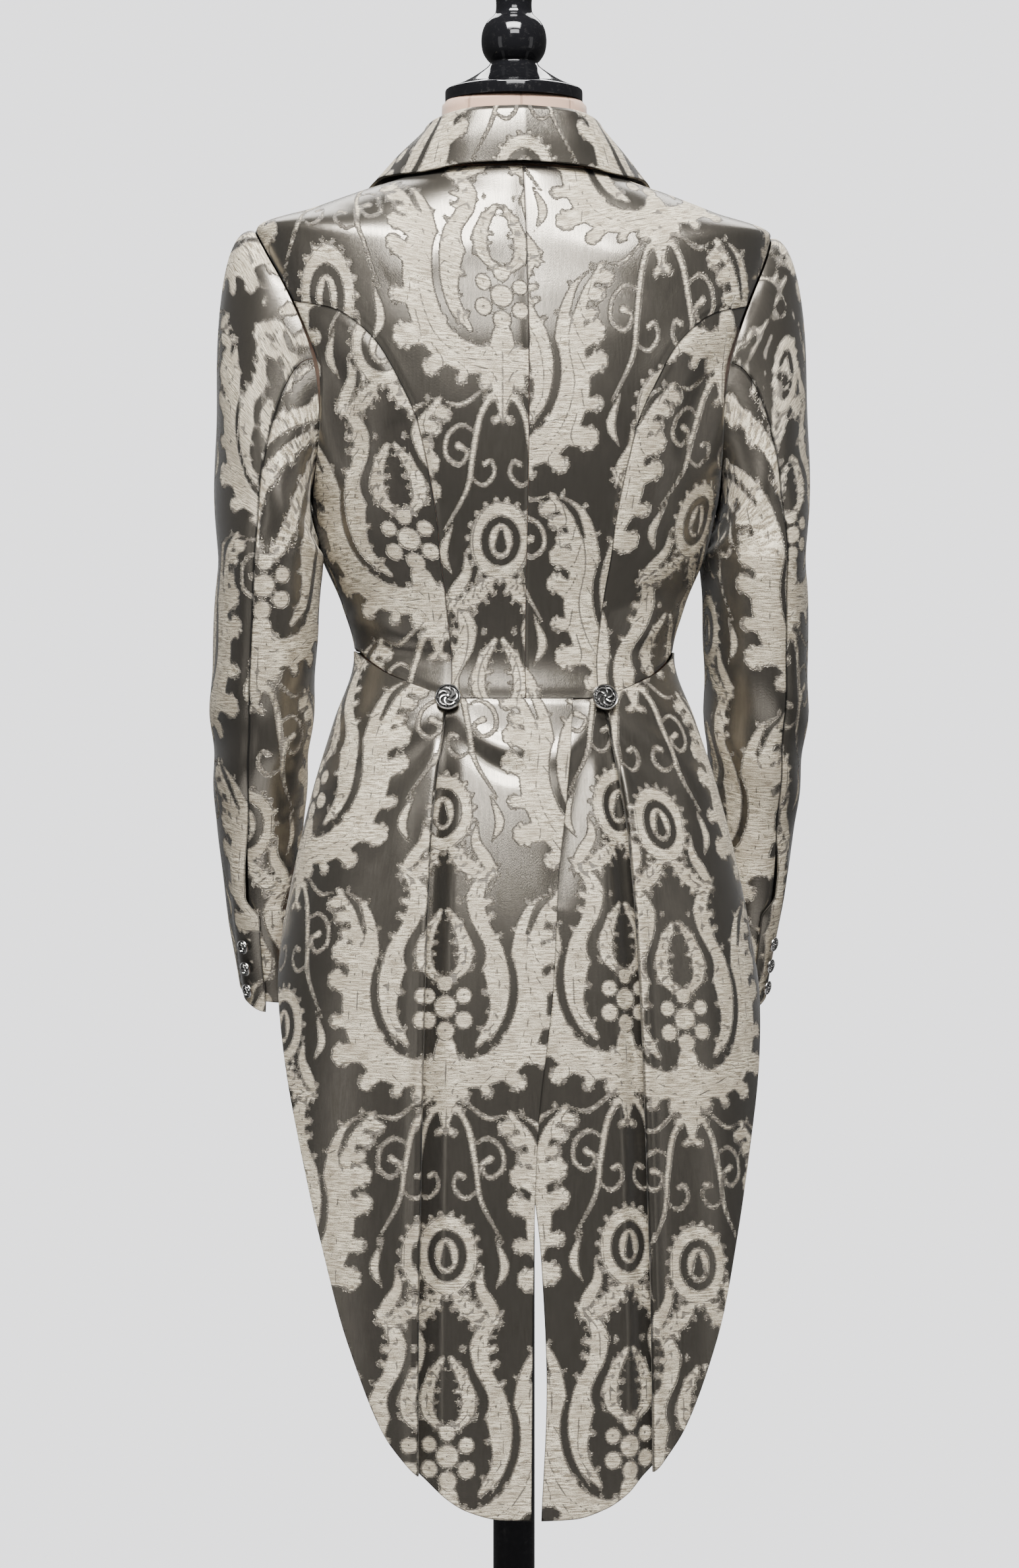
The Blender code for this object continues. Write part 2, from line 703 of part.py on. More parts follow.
def sleeve_cap(turn, share):
    """Points between the armhole and the sleeve's widest ring."""
    angle, level = np.moveaxis(armhole(turn % 360), -1, 0)
    low = (1 - np.cos(np.radians(turn))) / 2
    start = on_body(angle, level, MIDDLE)
    start = start + (0.0008 + 0.0024 * low)[..., None] * np.array([1.0, 0, 0])
    end = sleeve_ring(turn, SLEEVE[0].height)
    leave = np.stack([0.110 - 0.106 * low**0.8, 0 * low, 0.010 - 0.042 * low], -1)
    reach = np.linalg.norm(end - start, axis=-1)
    arrive = np.stack([0 * low, 0 * low, -reach], -1)
    t = share[..., None]
    return (
        start * (1 + 2 * t) * (1 - t) ** 2
        + end * t * t * (3 - 2 * t)
        + leave * t * (1 - t) ** 2
        - arrive * t * t * (1 - t)
    )


def sleeve_point(turn, down):
    """Points of the sleeve by turn and by share of its length, 0 at the armhole."""
    turn, down = np.broadcast_arrays(np.asarray(turn, float), down)
    cap = sleeve_cap(turn, np.clip(down / CAP_SHARE, 0, 1))
    share = np.maximum((down - CAP_SHARE) / (1 - CAP_SHARE), 0)
    tube = sleeve_ring(turn, SLEEVE[0].height + (SLEEVE[-1].height - SLEEVE[0].height) * share)
    return np.where((down < CAP_SHARE)[..., None], cap, tube)


def sleeve_out(grid_turn, grid_down, out):
    """Sleeve points moved out along the surface."""
    here = sleeve_point(grid_turn, grid_down)
    around = sleeve_point(grid_turn + 1, grid_down) - sleeve_point(grid_turn - 1, grid_down)
    nearer = np.maximum(grid_down - 0.004, 0)
    further = np.maximum(grid_down + 0.004, 0)
    along = sleeve_point(grid_turn, further) - sleeve_point(grid_turn, nearer)
    normal = np.cross(along, around)
    normal /= np.linalg.norm(normal, axis=-1, keepdims=True)
    return here + normal * np.asarray(out)[..., None]


def sleeve_part(name, side, seams, columns, out, finish, tip=0.0):
    """Part of the sleeve between two seams, each a turn for every row of down."""
    down = np.concatenate([np.linspace(0, CAP_SHARE, 8), np.linspace(CAP_SHARE, 1, 13)[1:]])
    first, last = (seam(down)[:, None] for seam in seams)
    turn = first + (last - first) * np.linspace(0, 1, columns + 1)
    grid_down = np.broadcast_to(down[:, None], turn.shape)
    near_tip = ramp(np.linspace(0, 1, columns + 1), 0.72, 1.0) * ramp(down, 0.93, 1.0)[:, None]
    points = sleeve_out(turn, grid_down + tip * near_tip, out(turn, grid_down))
    return cloth(name, trimmed(points, "left right", 1.6 * SEAM_GAP), side, finish)


def sleeve(side, finish):
    back_seam, front_seam = SLEEVE_TURN["back_seam"], SLEEVE_TURN["front_seam"]
    lap = math.degrees(VENT_LAP / 0.034)

    def upper_edge(down):
        return back_seam(down) + lap * ramp(down, VENT_SHARE, VENT_SHARE + 0.03)

    def upper_out(turn, down):
        near = ramp(turn, back_seam(down) - 35, back_seam(down) - 12)
        return VENT_RISE * near * ramp(down, VENT_SHARE - 0.10, VENT_SHARE - 0.03)

    def under_out(turn, down):
        return np.zeros(turn.shape)

    def upper_start(down):
        return front_seam(down) - 360

    name = side_name(side)
    seams, under = (upper_start, upper_edge), (back_seam, front_seam)
    sleeve_part("sleeve_upper_" + name, side, seams, 9, upper_out, finish, VENT_TIP)
    sleeve_part("sleeve_under_" + name, side, under, 7, under_out, finish)


def turned(name, profile, finish, steps=24):
    """A solid turned round its own Z axis, its profile run down the outer side."""
    mesh = bpy.data.meshes.new(name)
    edges = [(i, i + 1) for i in range(len(profile) - 1)]
    mesh.from_pydata([(radius, 0.0, height) for radius, height in profile], edges, [])
    obj = placed(name, mesh, finish)
    screw = obj.modifiers.new("turn", "SCREW")
    screw.steps = steps
    screw.render_steps = steps
    screw.use_merge_vertices = True
    screw.merge_threshold = 0.00005
    return obj


def seat(base, place, axis, reach):
    """The place moved along the axis to just above what the piece named base has under a button."""
    graph = bpy.context.evaluated_depsgraph_get()
    tree = BVHTree.FromObject(bpy.data.objects[base], graph)
    side = axis.orthogonal().normalized() * reach
    other = axis.cross(side)
    heights = []
    for offset in (side * 0, side, -side, other, -other):
        hit = tree.ray_cast(place + offset + axis * SEAT_SEARCH, -axis, 2 * SEAT_SEARCH)[0]
        if hit is not None:
            heights.append((hit - place).dot(axis))
    return place + axis * (max(heights) + SEAT_GAP)


def button(name, radius, base, place, normal, finish, steps=14):
    """A domed button with a raised rim and a shank, seated on the piece named base."""
    shank = radius * 0.36
    stem = radius * 0.26
    profile = [
        (0.0, stem + radius * 0.48),
        (radius * 0.68, stem + radius * 0.36),
        (radius * 0.84, stem + radius * 0.46),
        (radius, stem + radius * 0.22),
        (radius * 0.86, stem),
        (shank, stem),
        (shank, 0.0),
        (0.0, 0.0),
    ]
    axis = Vector(normal).normalized()
    location = seat(base, Vector(place), axis, shank)
    obj = turned(name, profile, finish, steps)
    obj.rotation_mode = "QUATERNION"
    obj.rotation_quaternion = axis.to_track_quat("Z", "Y")
    obj.location = location
    return obj


def back_buttons(finish):
    """One at the top of each pleat, on the waist seam."""
    angle = float(angle_of(BACK_BUTTON_ACROSS, BACK_BUTTON_HEIGHT))
    for side in (1, -1):
        place = on_body(side * angle, BACK_BUTTON_HEIGHT)
        normal = normal_at(side * angle, BACK_BUTTON_HEIGHT)
        name = side_name(side)
        button("back_button_" + name, BACK_BUTTON_RADIUS, "tail_side_" + name, place, normal, finish)


def front_buttons(finish):
    for number, height in enumerate(FRONT_BUTTON_HEIGHTS, 1):
        place = on_body(180.0, height)
        normal = normal_at(180.0, height)
        button(f"front_button_{number}", FRONT_BUTTON_RADIUS, "front_right", place, normal, finish)


def cuff_buttons(finish):
    """Three down each cuff, on the upper sleeve beside its vent."""
    length = SLEEVE[0].height - SLEEVE[-1].height
    for side in (1, -1):
        mirror = np.array([side, 1.0, 1.0])
        for number, height in enumerate(CUFF_BUTTON_HEIGHTS, 1):
            down = CAP_SHARE + (1 - CAP_SHARE) * (SLEEVE[0].height - height) / length
            turn = float(SLEEVE_TURN["back_seam"](down)) + CUFF_BUTTON_TURN
            low, high = (sleeve_out(np.array([turn]), np.array([down]), out)[0] for out in (0.0, 0.001))
            name = f"cuff_button_{side_name(side)}_{number}"
            base = "sleeve_upper_" + side_name(side)
            normal = (high - low) * mirror
            button(name, CUFF_BUTTON_RADIUS, base, low * mirror, normal, finish, CUFF_BUTTON_SIDES)


def torso(finish):
    """The limbless form inside the coat, closed by a flat foot and a flat neck."""
    levels = [FORM_BOTTOM, FORM_BOTTOM + 0.004, 0.81, 0.87, 0.92, 0.97, 1.01, 1.05, 1.09]
    levels += [1.125, 1.16, 1.195, 1.24, 1.285, 1.325, 1.352, 1.372, 1.39, 1.408]
    levels += [1.430, 1.452, 1.473, 1.494, 1.514, FORM_TOP]
    around = np.arange(0, 360, 360 / 26)
    build = bmesh.new()
    rings = []
    for level in levels:
        end = level in (levels[0], levels[-1])
        turn = np.where(around > 180, around - 360, around)
        points = on_body(np.abs(turn), level, -cover_gap(level) - (0.003 if end else 0.0))
        points[:, 0] *= np.where(turn < 0, -1, 1)
        if end:
            points[:, 2] = level
        rings.append([build.verts.new(point) for point in points])
    for low, high in zip(rings, rings[1:]):
        for i in range(len(around)):
            j = (i + 1) % len(around)
            build.faces.new((low[i], high[i], high[j], low[j]))
    build.faces.new(rings[0])
    build.faces.new(rings[-1][::-1])
    bmesh.ops.recalc_face_normals(build, faces=build.faces)
    mesh = bpy.data.meshes.new("form_torso")
    build.to_mesh(mesh)
    build.free()
    return placed("form_torso", mesh, finish)


def dress_form(cover, lacquer):
    torso(cover)
    cap = [
        (0.0, FINIAL_TOP),
        (0.0130, FINIAL_TOP - 0.003),
        (0.0175, FINIAL_TOP - 0.011),
        (0.0140, FINIAL_TOP - 0.026),
        (0.0145, 1.5850),
        (0.0205, 1.5795),
        (0.0250, 1.5700),
        (0.0250, 1.5590),
        (0.0185, 1.5480),
        (0.0220, 1.5430),
        (0.0330, 1.5355),
        (0.0500, 1.5275),
        (0.0530, 1.5245),
        (0.0530, FORM_TOP + 0.0003),
        (0.0, FORM_TOP + 0.0003),
    ]
    turned("form_cap", cap, lacquer, 18)
    pole_top = FORM_BOTTOM - 0.0003
    pole = [
        (0.0, pole_top),
        (0.052, pole_top),
        (0.054, pole_top - 0.004),
        (0.050, pole_top - 0.012),
        (0.026, pole_top - 0.020),
        (0.0175, pole_top - 0.034),
        (POLE_RADIUS, pole_top - 0.060),
        (POLE_RADIUS, 0.120),
        (0.020, 0.095),
        (0.027, 0.080),
        (0.022, 0.066),
        (0.030, BASE_HEIGHT + 0.006),
        (0.030, BASE_HEIGHT + 0.0003),
        (0.0, BASE_HEIGHT + 0.0003),
    ]
    turned("form_pole", pole, lacquer, 14)
    base = [
        (0.0, BASE_HEIGHT),
        (0.045, BASE_HEIGHT),
        (0.060, BASE_HEIGHT - 0.006),
        (0.120, BASE_HEIGHT - 0.011),
        (0.185, BASE_HEIGHT - 0.016),
        (0.200, BASE_HEIGHT - 0.020),
        (BASE_RADIUS, BASE_HEIGHT - 0.027),
        (BASE_RADIUS - 0.003, 0.0),
        (0.0, 0.0),
    ]
    turned("form_base", base, lacquer, 28)


def tailcoat():
    brocade = material("brocade", (0.42, 0.39, 0.36), 0.45, 0.2)
    metal = material("antique_silver", (0.50, 0.49, 0.47), 0.3, 1.0)
    cover = material("form_cover", (0.62, 0.42, 0.31), 0.8)
    lacquer = material("black_lacquer", (0.01, 0.01, 0.01), 0.12)
    for side in (1, -1):
        back(side, brocade)
        side_back(side, brocade)
        side_front(side, brocade)
        front(side, brocade)
        lapel(side, brocade)
        sleeve(side, brocade)
        tail_centre(side, brocade)
        tail_side(side, brocade)
    collar(brocade)
    back_buttons(metal)
    front_buttons(metal)
    cuff_buttons(metal)
    dress_form(cover, lacquer)


clear_scene()
COAT = bpy.data.collections.new("tailcoat")
bpy.context.scene.collection.children.link(COAT)
tailcoat()
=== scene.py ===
"""The tailcoat on its form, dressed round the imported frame: fine damask panels, buttons, form finish.

Each panel is the same region of the same body surface as its solid, on a finer grid, with its
creases, seam dips and fabric coordinates. Metres, +Z up, the wearer's front facing -Y.
"""

import math
from collections import namedtuple

import bmesh
import bpy
import numpy as np
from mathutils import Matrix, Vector
from mathutils.bvhtree import BVHTree


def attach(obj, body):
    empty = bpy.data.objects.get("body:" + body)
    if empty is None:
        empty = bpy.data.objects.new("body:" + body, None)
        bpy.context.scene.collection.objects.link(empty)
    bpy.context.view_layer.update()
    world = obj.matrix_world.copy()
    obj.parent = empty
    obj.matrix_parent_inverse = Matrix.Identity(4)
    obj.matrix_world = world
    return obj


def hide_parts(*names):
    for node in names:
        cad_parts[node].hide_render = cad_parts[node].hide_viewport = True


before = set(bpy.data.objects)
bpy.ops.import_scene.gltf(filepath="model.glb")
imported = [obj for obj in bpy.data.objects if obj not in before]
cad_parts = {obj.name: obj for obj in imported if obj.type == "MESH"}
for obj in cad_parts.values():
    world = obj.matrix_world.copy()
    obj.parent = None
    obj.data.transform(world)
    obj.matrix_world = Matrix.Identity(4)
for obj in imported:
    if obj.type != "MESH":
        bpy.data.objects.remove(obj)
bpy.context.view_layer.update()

# Sizes of the coat as in its solids, in metres. Angles are in degrees from the centre back.
WALL = 0.0014
SEAM_GAP = 0.0004
MIDDLE = -WALL / 2

WAIST_HEIGHT = 1.0565
NECK_SEAM = 1.460
SHOULDER_LEVEL = 1.375
BREAK_LEVEL = 1.205
BREAK_RADIUS = 0.13
WAIST_FRONT_RADIUS = 0.095
FRONT_LAP = 0.012
LAP_LIFT = 0.0023
LAP_EASE = (FRONT_LAP + 0.004, 0.042)
FRONT_CORNER = 170.0

ARMHOLE_MIDDLE = 1.2865
ARMHOLE_HALF_HEIGHT = 0.0885
ARMHOLE_BACK_DEPTH = 22.5
ARMHOLE_FRONT_DEPTH = 24.0
ARMHOLE_CURVE = 1.5

PRINCESS_TURN = 56.0
FRONT_PRINCESS_TURN = 292.0
SIDE_SEAM_FOOT = 92.0

PLEAT_UNDERLAP = 0.014
PLEAT_LIFT = 0.0030
PLEAT_BESIDE = (0.0015, 0.026)
VENT_LIFT = 0.0010
LAPEL_START = 0.006
LAPEL_LIFT = 0.0024
LAPEL_BELLY = 0.0012
LAPEL_FOOT_TURN = 4.0

BACK_BUTTON_RADIUS = 0.0103
FRONT_BUTTON_RADIUS = 0.0095
CUFF_BUTTON_RADIUS = 0.0056
FRONT_BUTTON_HEIGHTS = (1.110, 1.148, 1.186)
CUFF_BUTTON_HEIGHTS = (0.878, 0.8605, 0.843)
CUFF_BUTTON_TURN = -3.0
BACK_BUTTON_ACROSS = 0.0575
BACK_BUTTON_HEIGHT = WAIST_HEIGHT - 0.0015
SEAT_SEARCH = 0.012
SEAT_GAP = 0.0003

FORM_BOTTOM = 0.765
FORM_TOP = 1.517
FORM_ROUND = 0.003
POLE_RADIUS = 0.016
BASE_RADIUS = 0.205
BASE_HEIGHT = 0.034
FINIAL_TOP = 1.624
STAND_GAP = 0.0003
UP = np.array([0.0, 0.0, 1.0])

# The coat's outer surface. back, front: y at the centre lines; centre: y of the widest place.
Ring = namedtuple("Ring", "level back front centre half side_level front_level square")
RINGS = [
    Ring(0.450, 0.1500, -0.115, 0.020, 0.2000, 0.450, 0.450, 2.35),
    Ring(0.600, 0.1440, -0.115, 0.019, 0.1990, 0.600, 0.600, 2.30),
    Ring(0.750, 0.1360, -0.115, 0.017, 0.1935, 0.750, 0.750, 2.25),
    Ring(0.830, 0.1300, -0.113, 0.015, 0.1865, 0.830, 0.830, 2.20),
    Ring(0.890, 0.1230, -0.111, 0.014, 0.1770, 0.890, 0.890, 2.20),
    Ring(0.940, 0.1135, -0.109, 0.013, 0.1670, 0.940, 0.940, 2.20),
    Ring(0.990, 0.1010, -0.106, 0.010, 0.1545, 0.990, 0.990, 2.20),
    Ring(1.040, 0.0860, -0.099, 0.006, 0.1385, 1.040, 1.040, 2.20),
    Ring(1.090, 0.0755, -0.093, 0.001, 0.1225, 1.090, 1.090, 2.20),
    Ring(1.130, 0.0790, -0.101, 0.000, 0.1325, 1.130, 1.130, 2.25),
    Ring(1.170, 0.0870, -0.119, -0.003, 0.1490, 1.170, 1.168, 2.35),
    Ring(1.200, 0.0930, -0.131, -0.003, 0.1560, 1.200, 1.197, 2.40),
    Ring(1.240, 0.0985, -0.137, -0.003, 0.1650, 1.242, 1.236, 2.45),
    Ring(1.280, 0.1010, -0.131, -0.003, 0.1760, 1.287, 1.268, 2.50),
    Ring(1.320, 0.1000, -0.117, -0.003, 0.1860, 1.336, 1.294, 2.50),
    Ring(1.355, 0.0950, -0.103, -0.003, 0.1955, 1.3860, 1.315, 2.45),
    Ring(1.375, 0.0905, -0.095, -0.003, 0.2000, 1.4150, 1.328, 2.40),
    Ring(1.403, 0.0835, -0.084, -0.002, 0.1560, 1.4325, 1.347, 2.40),
    Ring(1.431, 0.0755, -0.070, 0.000, 0.1190, 1.4460, 1.369, 2.30),
    Ring(1.452, 0.0670, -0.056, 0.002, 0.0880, 1.4565, 1.388, 2.20),
    Ring(1.473, 0.0595, -0.047, 0.003, 0.0680, 1.4715, 1.417, 2.10),
    Ring(1.494, 0.0550, -0.046, 0.003, 0.0610, 1.4930, 1.463, 2.05),
    Ring(1.517, 0.0535, -0.047, 0.003, 0.0585, 1.517, 1.517, 2.00),
]

# Seams and edges: height, and distance from the centre line.
Seam = namedtuple("Seam", "height across")
PRINCESS = [
    Seam(1.349, 0.146),
    Seam(1.328, 0.118),
    Seam(1.295, 0.0975),
    Seam(1.258, 0.082),
    Seam(1.190, 0.068),
    Seam(1.120, 0.059),
    Seam(1.060, 0.056),
]
FRONT_PRINCESS = [
    Seam(1.290, 0.112),
    Seam(1.235, 0.088),
    Seam(1.170, 0.074),
    Seam(1.092, 0.060),
]
ROLL_LINE = [
    Seam(1.400, 0.064),
    Seam(1.330, 0.040),
    Seam(1.260, 0.016),
]
PLEAT = [
    Seam(0.450, 0.0870),
    Seam(0.580, 0.0865),
    Seam(0.700, 0.0840),
    Seam(0.840, 0.0800),
    Seam(0.950, 0.0740),
    Seam(1.030, 0.0630),
    Seam(1.066, 0.0570),
]
VENT_OUTER = [
    Seam(0.450, 0.0042),
    Seam(0.643, 0.0015),
    Seam(0.735, -0.0024),
    Seam(0.840, -0.0146),
    Seam(0.920, -0.0200),
    Seam(0.980, -0.0280),
    Seam(1.060, -0.0360),
]
VENT_INNER = [
    Seam(0.450, 0.0030),
    Seam(0.550, 0.0075),
    Seam(0.643, 0.0040),
    Seam(0.735, -0.0060),
    Seam(0.840, -0.0110),
    Seam(1.060, -0.0120),
]
LAPEL_OUTER = [
    Seam(1.262, 0.052),
    Seam(1.325, 0.090),
    Seam(1.376, 0.106),
]
GORGE = [
    Seam(1.386, 0.0700),
    Seam(1.376, 0.1060),
]

# The turn of the side tail at its pleat: distance from the pleat's edge, and out from the body.
Bend = namedtuple("Bend", "across out")
PLEAT_FOLD = [
    Bend(0.0120, 0.00040),
    Bend(0.0015, 0.00040),
    Bend(0.0003, 0.00075),
    Bend(0.0000, 0.00135),
    Bend(0.0003, 0.00195),
    Bend(0.0015, 0.00230),
]

# Edges given round the body: angle, and level.
Edge = namedtuple("Edge", "angle level")
WAIST = [
    Edge(0, 1.0565),
    Edge(33, 1.0568),
    Edge(45, 1.0610),
    Edge(60, 1.0715),
    Edge(90, 1.0940),
    Edge(135, 1.0930),
    Edge(180, 1.0880),
    Edge(200, 1.0880),
]
HEM = [
    Edge(0, 0.4500),
    Edge(12, 0.4510),
    Edge(22, 0.4575),
    Edge(32, 0.4750),
    Edge(43, 0.5060),
    Edge(54, 0.5800),
    Edge(61.5, 0.6550),
    Edge(70, 0.7400),
    Edge(79, 0.8150),
    Edge(90, 0.8850),
    Edge(110, 0.9600),
    Edge(130, 1.0130),
    Edge(150, 1.0480),
    Edge(170, 1.0730),
]

# How far the form's cover stays inside the coat's outer surface, by level.
Cover = namedtuple("Cover", "level gap")
FORM_COVER = [
    Cover(0.765, 0.0340),
    Cover(0.850, 0.0280),
    Cover(0.930, 0.0180),
    Cover(0.990, 0.0100),
    Cover(1.060, 0.0058),
    Cover(1.120, 0.0040),
    Cover(1.280, 0.0036),
    Cover(1.340, 0.0068),
    Cover(1.388, 0.0150),
    Cover(1.415, 0.0080),
    Cover(1.458, 0.0052),
    Cover(1.517, 0.0030),
]

# The collar's roll line and outer edge, from the centre back to the front end.
Fold = namedtuple("Fold", "share roll_x roll_y roll_z edge_x edge_y edge_z")
COLLAR = [
    Fold(0.00, 0.0000, 0.0605, 1.5050, 0.0000, 0.0765, 1.4668),
    Fold(0.20, 0.0330, 0.0535, 1.5040, 0.0410, 0.0705, 1.4650),
    Fold(0.40, 0.0565, 0.0310, 1.5010, 0.0800, 0.0470, 1.4590),
    Fold(0.60, 0.0655, 0.0010, 1.4970, 0.1010, 0.0020, 1.4580),
    Fold(0.80, 0.0680, -0.0310, 1.4700, 0.1160, -0.0418, 1.4372),
    Fold(1.00, 0.0640, -0.0610, 1.4280, 0.1073, -0.0792, 1.4005),
]

# Sleeve stations below the cap: centre, half sizes across and front to back, and tilt.
Station = namedtuple("Station", "height x y across deep tilt")
SLEEVE = [
    Station(1.165, 0.1880, -0.004, 0.0395, 0.0690, 0),
    Station(1.108, 0.1905, -0.012, 0.0395, 0.0640, 4),
    Station(1.035, 0.1930, -0.026, 0.0380, 0.0580, 9),
    Station(0.960, 0.1930, -0.047, 0.0330, 0.0525, 13),
    Station(0.890, 0.1860, -0.063, 0.0300, 0.0500, 14),
    Station(0.835, 0.1780, -0.074, 0.0290, 0.0490, 14),
]
# Where the sleeve's seams run round it, down its length: 0 is outermost, 90 the back.
Turn = namedtuple("Turn", "down back_seam front_seam")
SLEEVE_SEAMS = [
    Turn(0.00, 80, 235),
    Turn(0.35, 68, 235),
    Turn(0.65, 70, 238),
    Turn(1.00, 52, 240),
]
SIDE_SHARE = 0.6
COLLAR_GAP = 0.0012
COLLAR_ROLL_SHARE = 0.30
CAP_SHARE = 0.35
VENT_SHARE = 0.84
VENT_LAP = 0.010
VENT_LAP_RADIUS = 0.034
VENT_RISE = 0.0036
VENT_TIP = 0.016

# The sleeve's cap: its gap from the armhole and how hard it leaves it outwards and upwards, each
# at the shoulder and as what is added at the underarm.
CAP_GAP = 0.0008
CAP_GAP_ADDED = 0.0024
CAP_OUT = 0.110
CAP_OUT_ADDED = -0.106
CAP_OUT_CURVE = 0.8
CAP_UP = 0.010
CAP_UP_ADDED = -0.042

# The small steps over which surface directions are measured, and the rounds of each search.
ANGLE_STEP = 0.2
LEVEL_STEP = 0.0005
DOWN_STEP = 0.004
HALVINGS = 30
LOCATE_ROUNDS = 25
LOCATE_SHARE = 0.7

# The turned parts' outlines: radius and height, from the top down.
CAP_OUTLINE = [
    (0.0, FINIAL_TOP), (0.0085, FINIAL_TOP - 0.0012), (0.0140, FINIAL_TOP - 0.0045),
    (0.0173, FINIAL_TOP - 0.0105), (0.0165, FINIAL_TOP - 0.0175), (0.0142, FINIAL_TOP - 0.0260),
    (0.0138, 1.5905), (0.0150, 1.5850), (0.0205, 1.5795), (0.0240, 1.5730), (0.0252, 1.5645),
    (0.0240, 1.5560), (0.0205, 1.5500), (0.0185, 1.5480), (0.0190, 1.5462), (0.0220, 1.5430),
    (0.0330, 1.5355), (0.0430, 1.5302), (0.0500, 1.5275), (0.0525, 1.5262), (0.0530, 1.5245),
]
POLE_TOP = [
    (0.052, FORM_BOTTOM - STAND_GAP), (0.054, FORM_BOTTOM - STAND_GAP - 0.004),
    (0.050, FORM_BOTTOM - STAND_GAP - 0.012), (0.026, FORM_BOTTOM - STAND_GAP - 0.020),
    (0.0175, FORM_BOTTOM - STAND_GAP - 0.034), (POLE_RADIUS, FORM_BOTTOM - STAND_GAP - 0.060),
]
POLE_FOOT = [
    (POLE_RADIUS, 0.120), (0.020, 0.095), (0.027, 0.080), (0.022, 0.066),
    (0.030, BASE_HEIGHT + 0.006), (0.030, BASE_HEIGHT + STAND_GAP),
]
BASE_OUTLINE = [
    (0.045, BASE_HEIGHT), (0.060, BASE_HEIGHT - 0.006), (0.120, BASE_HEIGHT - 0.011),
    (0.185, BASE_HEIGHT - 0.016), (0.200, BASE_HEIGHT - 0.020), (BASE_RADIUS, BASE_HEIGHT - 0.027),
]

Light = namedtuple("Light", "name place size power")
LIGHTS = [
    Light("overhead", (0.3, 1.9, 3.8), (2.2, 1.3), 245),
    Light("yoke", (0.15, 1.15, 2.7), (1.3, 0.7), 45),
    Light("overhead_low", (0.2, 3.2, 2.9), (1.8, 0.6), 36),
    Light("overhead_front", (-0.3, -1.8, 3.2), (2.4, 1.4), 60),
    Light("left_side", (2.8, 1.8, 1.1), (0.8, 2.0), 4),
    Light("right_side", (-2.8, 1.8, 1.1), (0.8, 2.0), 3),
]
LIGHT_AIM = (0, 0, 1.1)
BACKDROP = (2.15, 2.15, 2.2, 1)
ROOM = (0.076, 0.076, 0.077, 1)
FLOOR_RADIUS = 1.5
CAMERA_AZIMUTH = 173.5
CAMERA_DISTANCE = 3.2
CAMERA_SIDE = -0.0034
CAMERA_HEIGHT = 0.992
CAMERA_FOCUS_PIXELS = 6301.0
PHOTO_HEIGHT = 2380
SENSOR = 36.0

# Colours of the damask's thread, ground and outlines, of the shadow painted along its seams
# and edges, of the silver, the form's cover, its lacquer and the floor.
THREAD_DARK = (0.19, 0.155, 0.105, 1)
THREAD_LIGHT = (0.88, 0.785, 0.595, 1)
THREAD_WARM = (0.38, 0.32, 0.23, 1)
GROUND_DARK = (0.172, 0.156, 0.130, 1)
GROUND_LIGHT = (0.206, 0.187, 0.157, 1)
OUTLINE = (0.085, 0.075, 0.065, 1)
PAINTED_SEAM_SHADOW = (0.030, 0.027, 0.023, 1)
SILVER_DARK = (0.035, 0.034, 0.033, 1)
SILVER = (0.58, 0.57, 0.555, 1)
JERSEY_DARK = (0.50, 0.31, 0.22, 1)
JERSEY_LIGHT = (0.60, 0.40, 0.29, 1)
JERSEY_SEAM = (0.25, 0.15, 0.10, 1)
LACQUER = (0.006, 0.006, 0.007, 1)
LACQUER_DUST = (0.03, 0.029, 0.028, 1)
FLOOR_DARK = (0.50, 0.50, 0.51, 1)
FLOOR_LIGHT = (0.58, 0.58, 0.59, 1)

# How fine each noise of the cloth is, across and along the fabric.
JAG_THREADS = (420, 1500)
SLUB_THREADS = (95, 800)
FLOAT_THREADS = (1100, 1700)
CLOUD_THREADS = (28, 55)
GROUND_THREADS = (700, 60)
FINE_THREADS = (2300, 700)
SOFT_THREADS = (13, 8)
KNIT_THREADS = (1600, 1600, 900)

# The ornament's edge, outline and veins in millimetres from it, and the tones' and reliefs' shares.
EDGE_SHIFT = 1.0
EDGE_JAG = 2.6
EDGE_EASE = (0.25, -0.25)
OUTLINE_SHIFT = 0.20
OUTLINE_EASE = (0.80, 0.35)
OUTLINE_SHARE = 0.85
VEIN_JAG = 0.5
VEIN_EASE = (0.85, 0.40)
WEFT_EASE = (0.41, 0.60)
CLOUD_EASE = (0.35, 0.65)
CLOUD_SHARE = 0.55
GROUND_EASE = (0.3, 0.7)
# Where the shadow painted along panel edges and pleats fades out, and how much cloth colour it leaves.
PAINTED_SHADOW_EASE = (0.10, 0.45)
PAINTED_SHADOW_LEFT = 0.2
COVER_SEAM_EASE = (1.6, 0.4)
COVER_SEAM_SHARE = 0.6
KNIT_RELIEF = 0.4
SLUB_SHARE = 0.7
METALLIC = (0.90, 0.10)
ROUGHNESS = (0.27, 0.60)
WEFT_RELIEF = 2.0
ORNAMENT_RELIEF = 0.5
OUTLINE_RELIEF = -0.7
FINE_RELIEF = 0.16
SOFT_RELIEF = 3.2

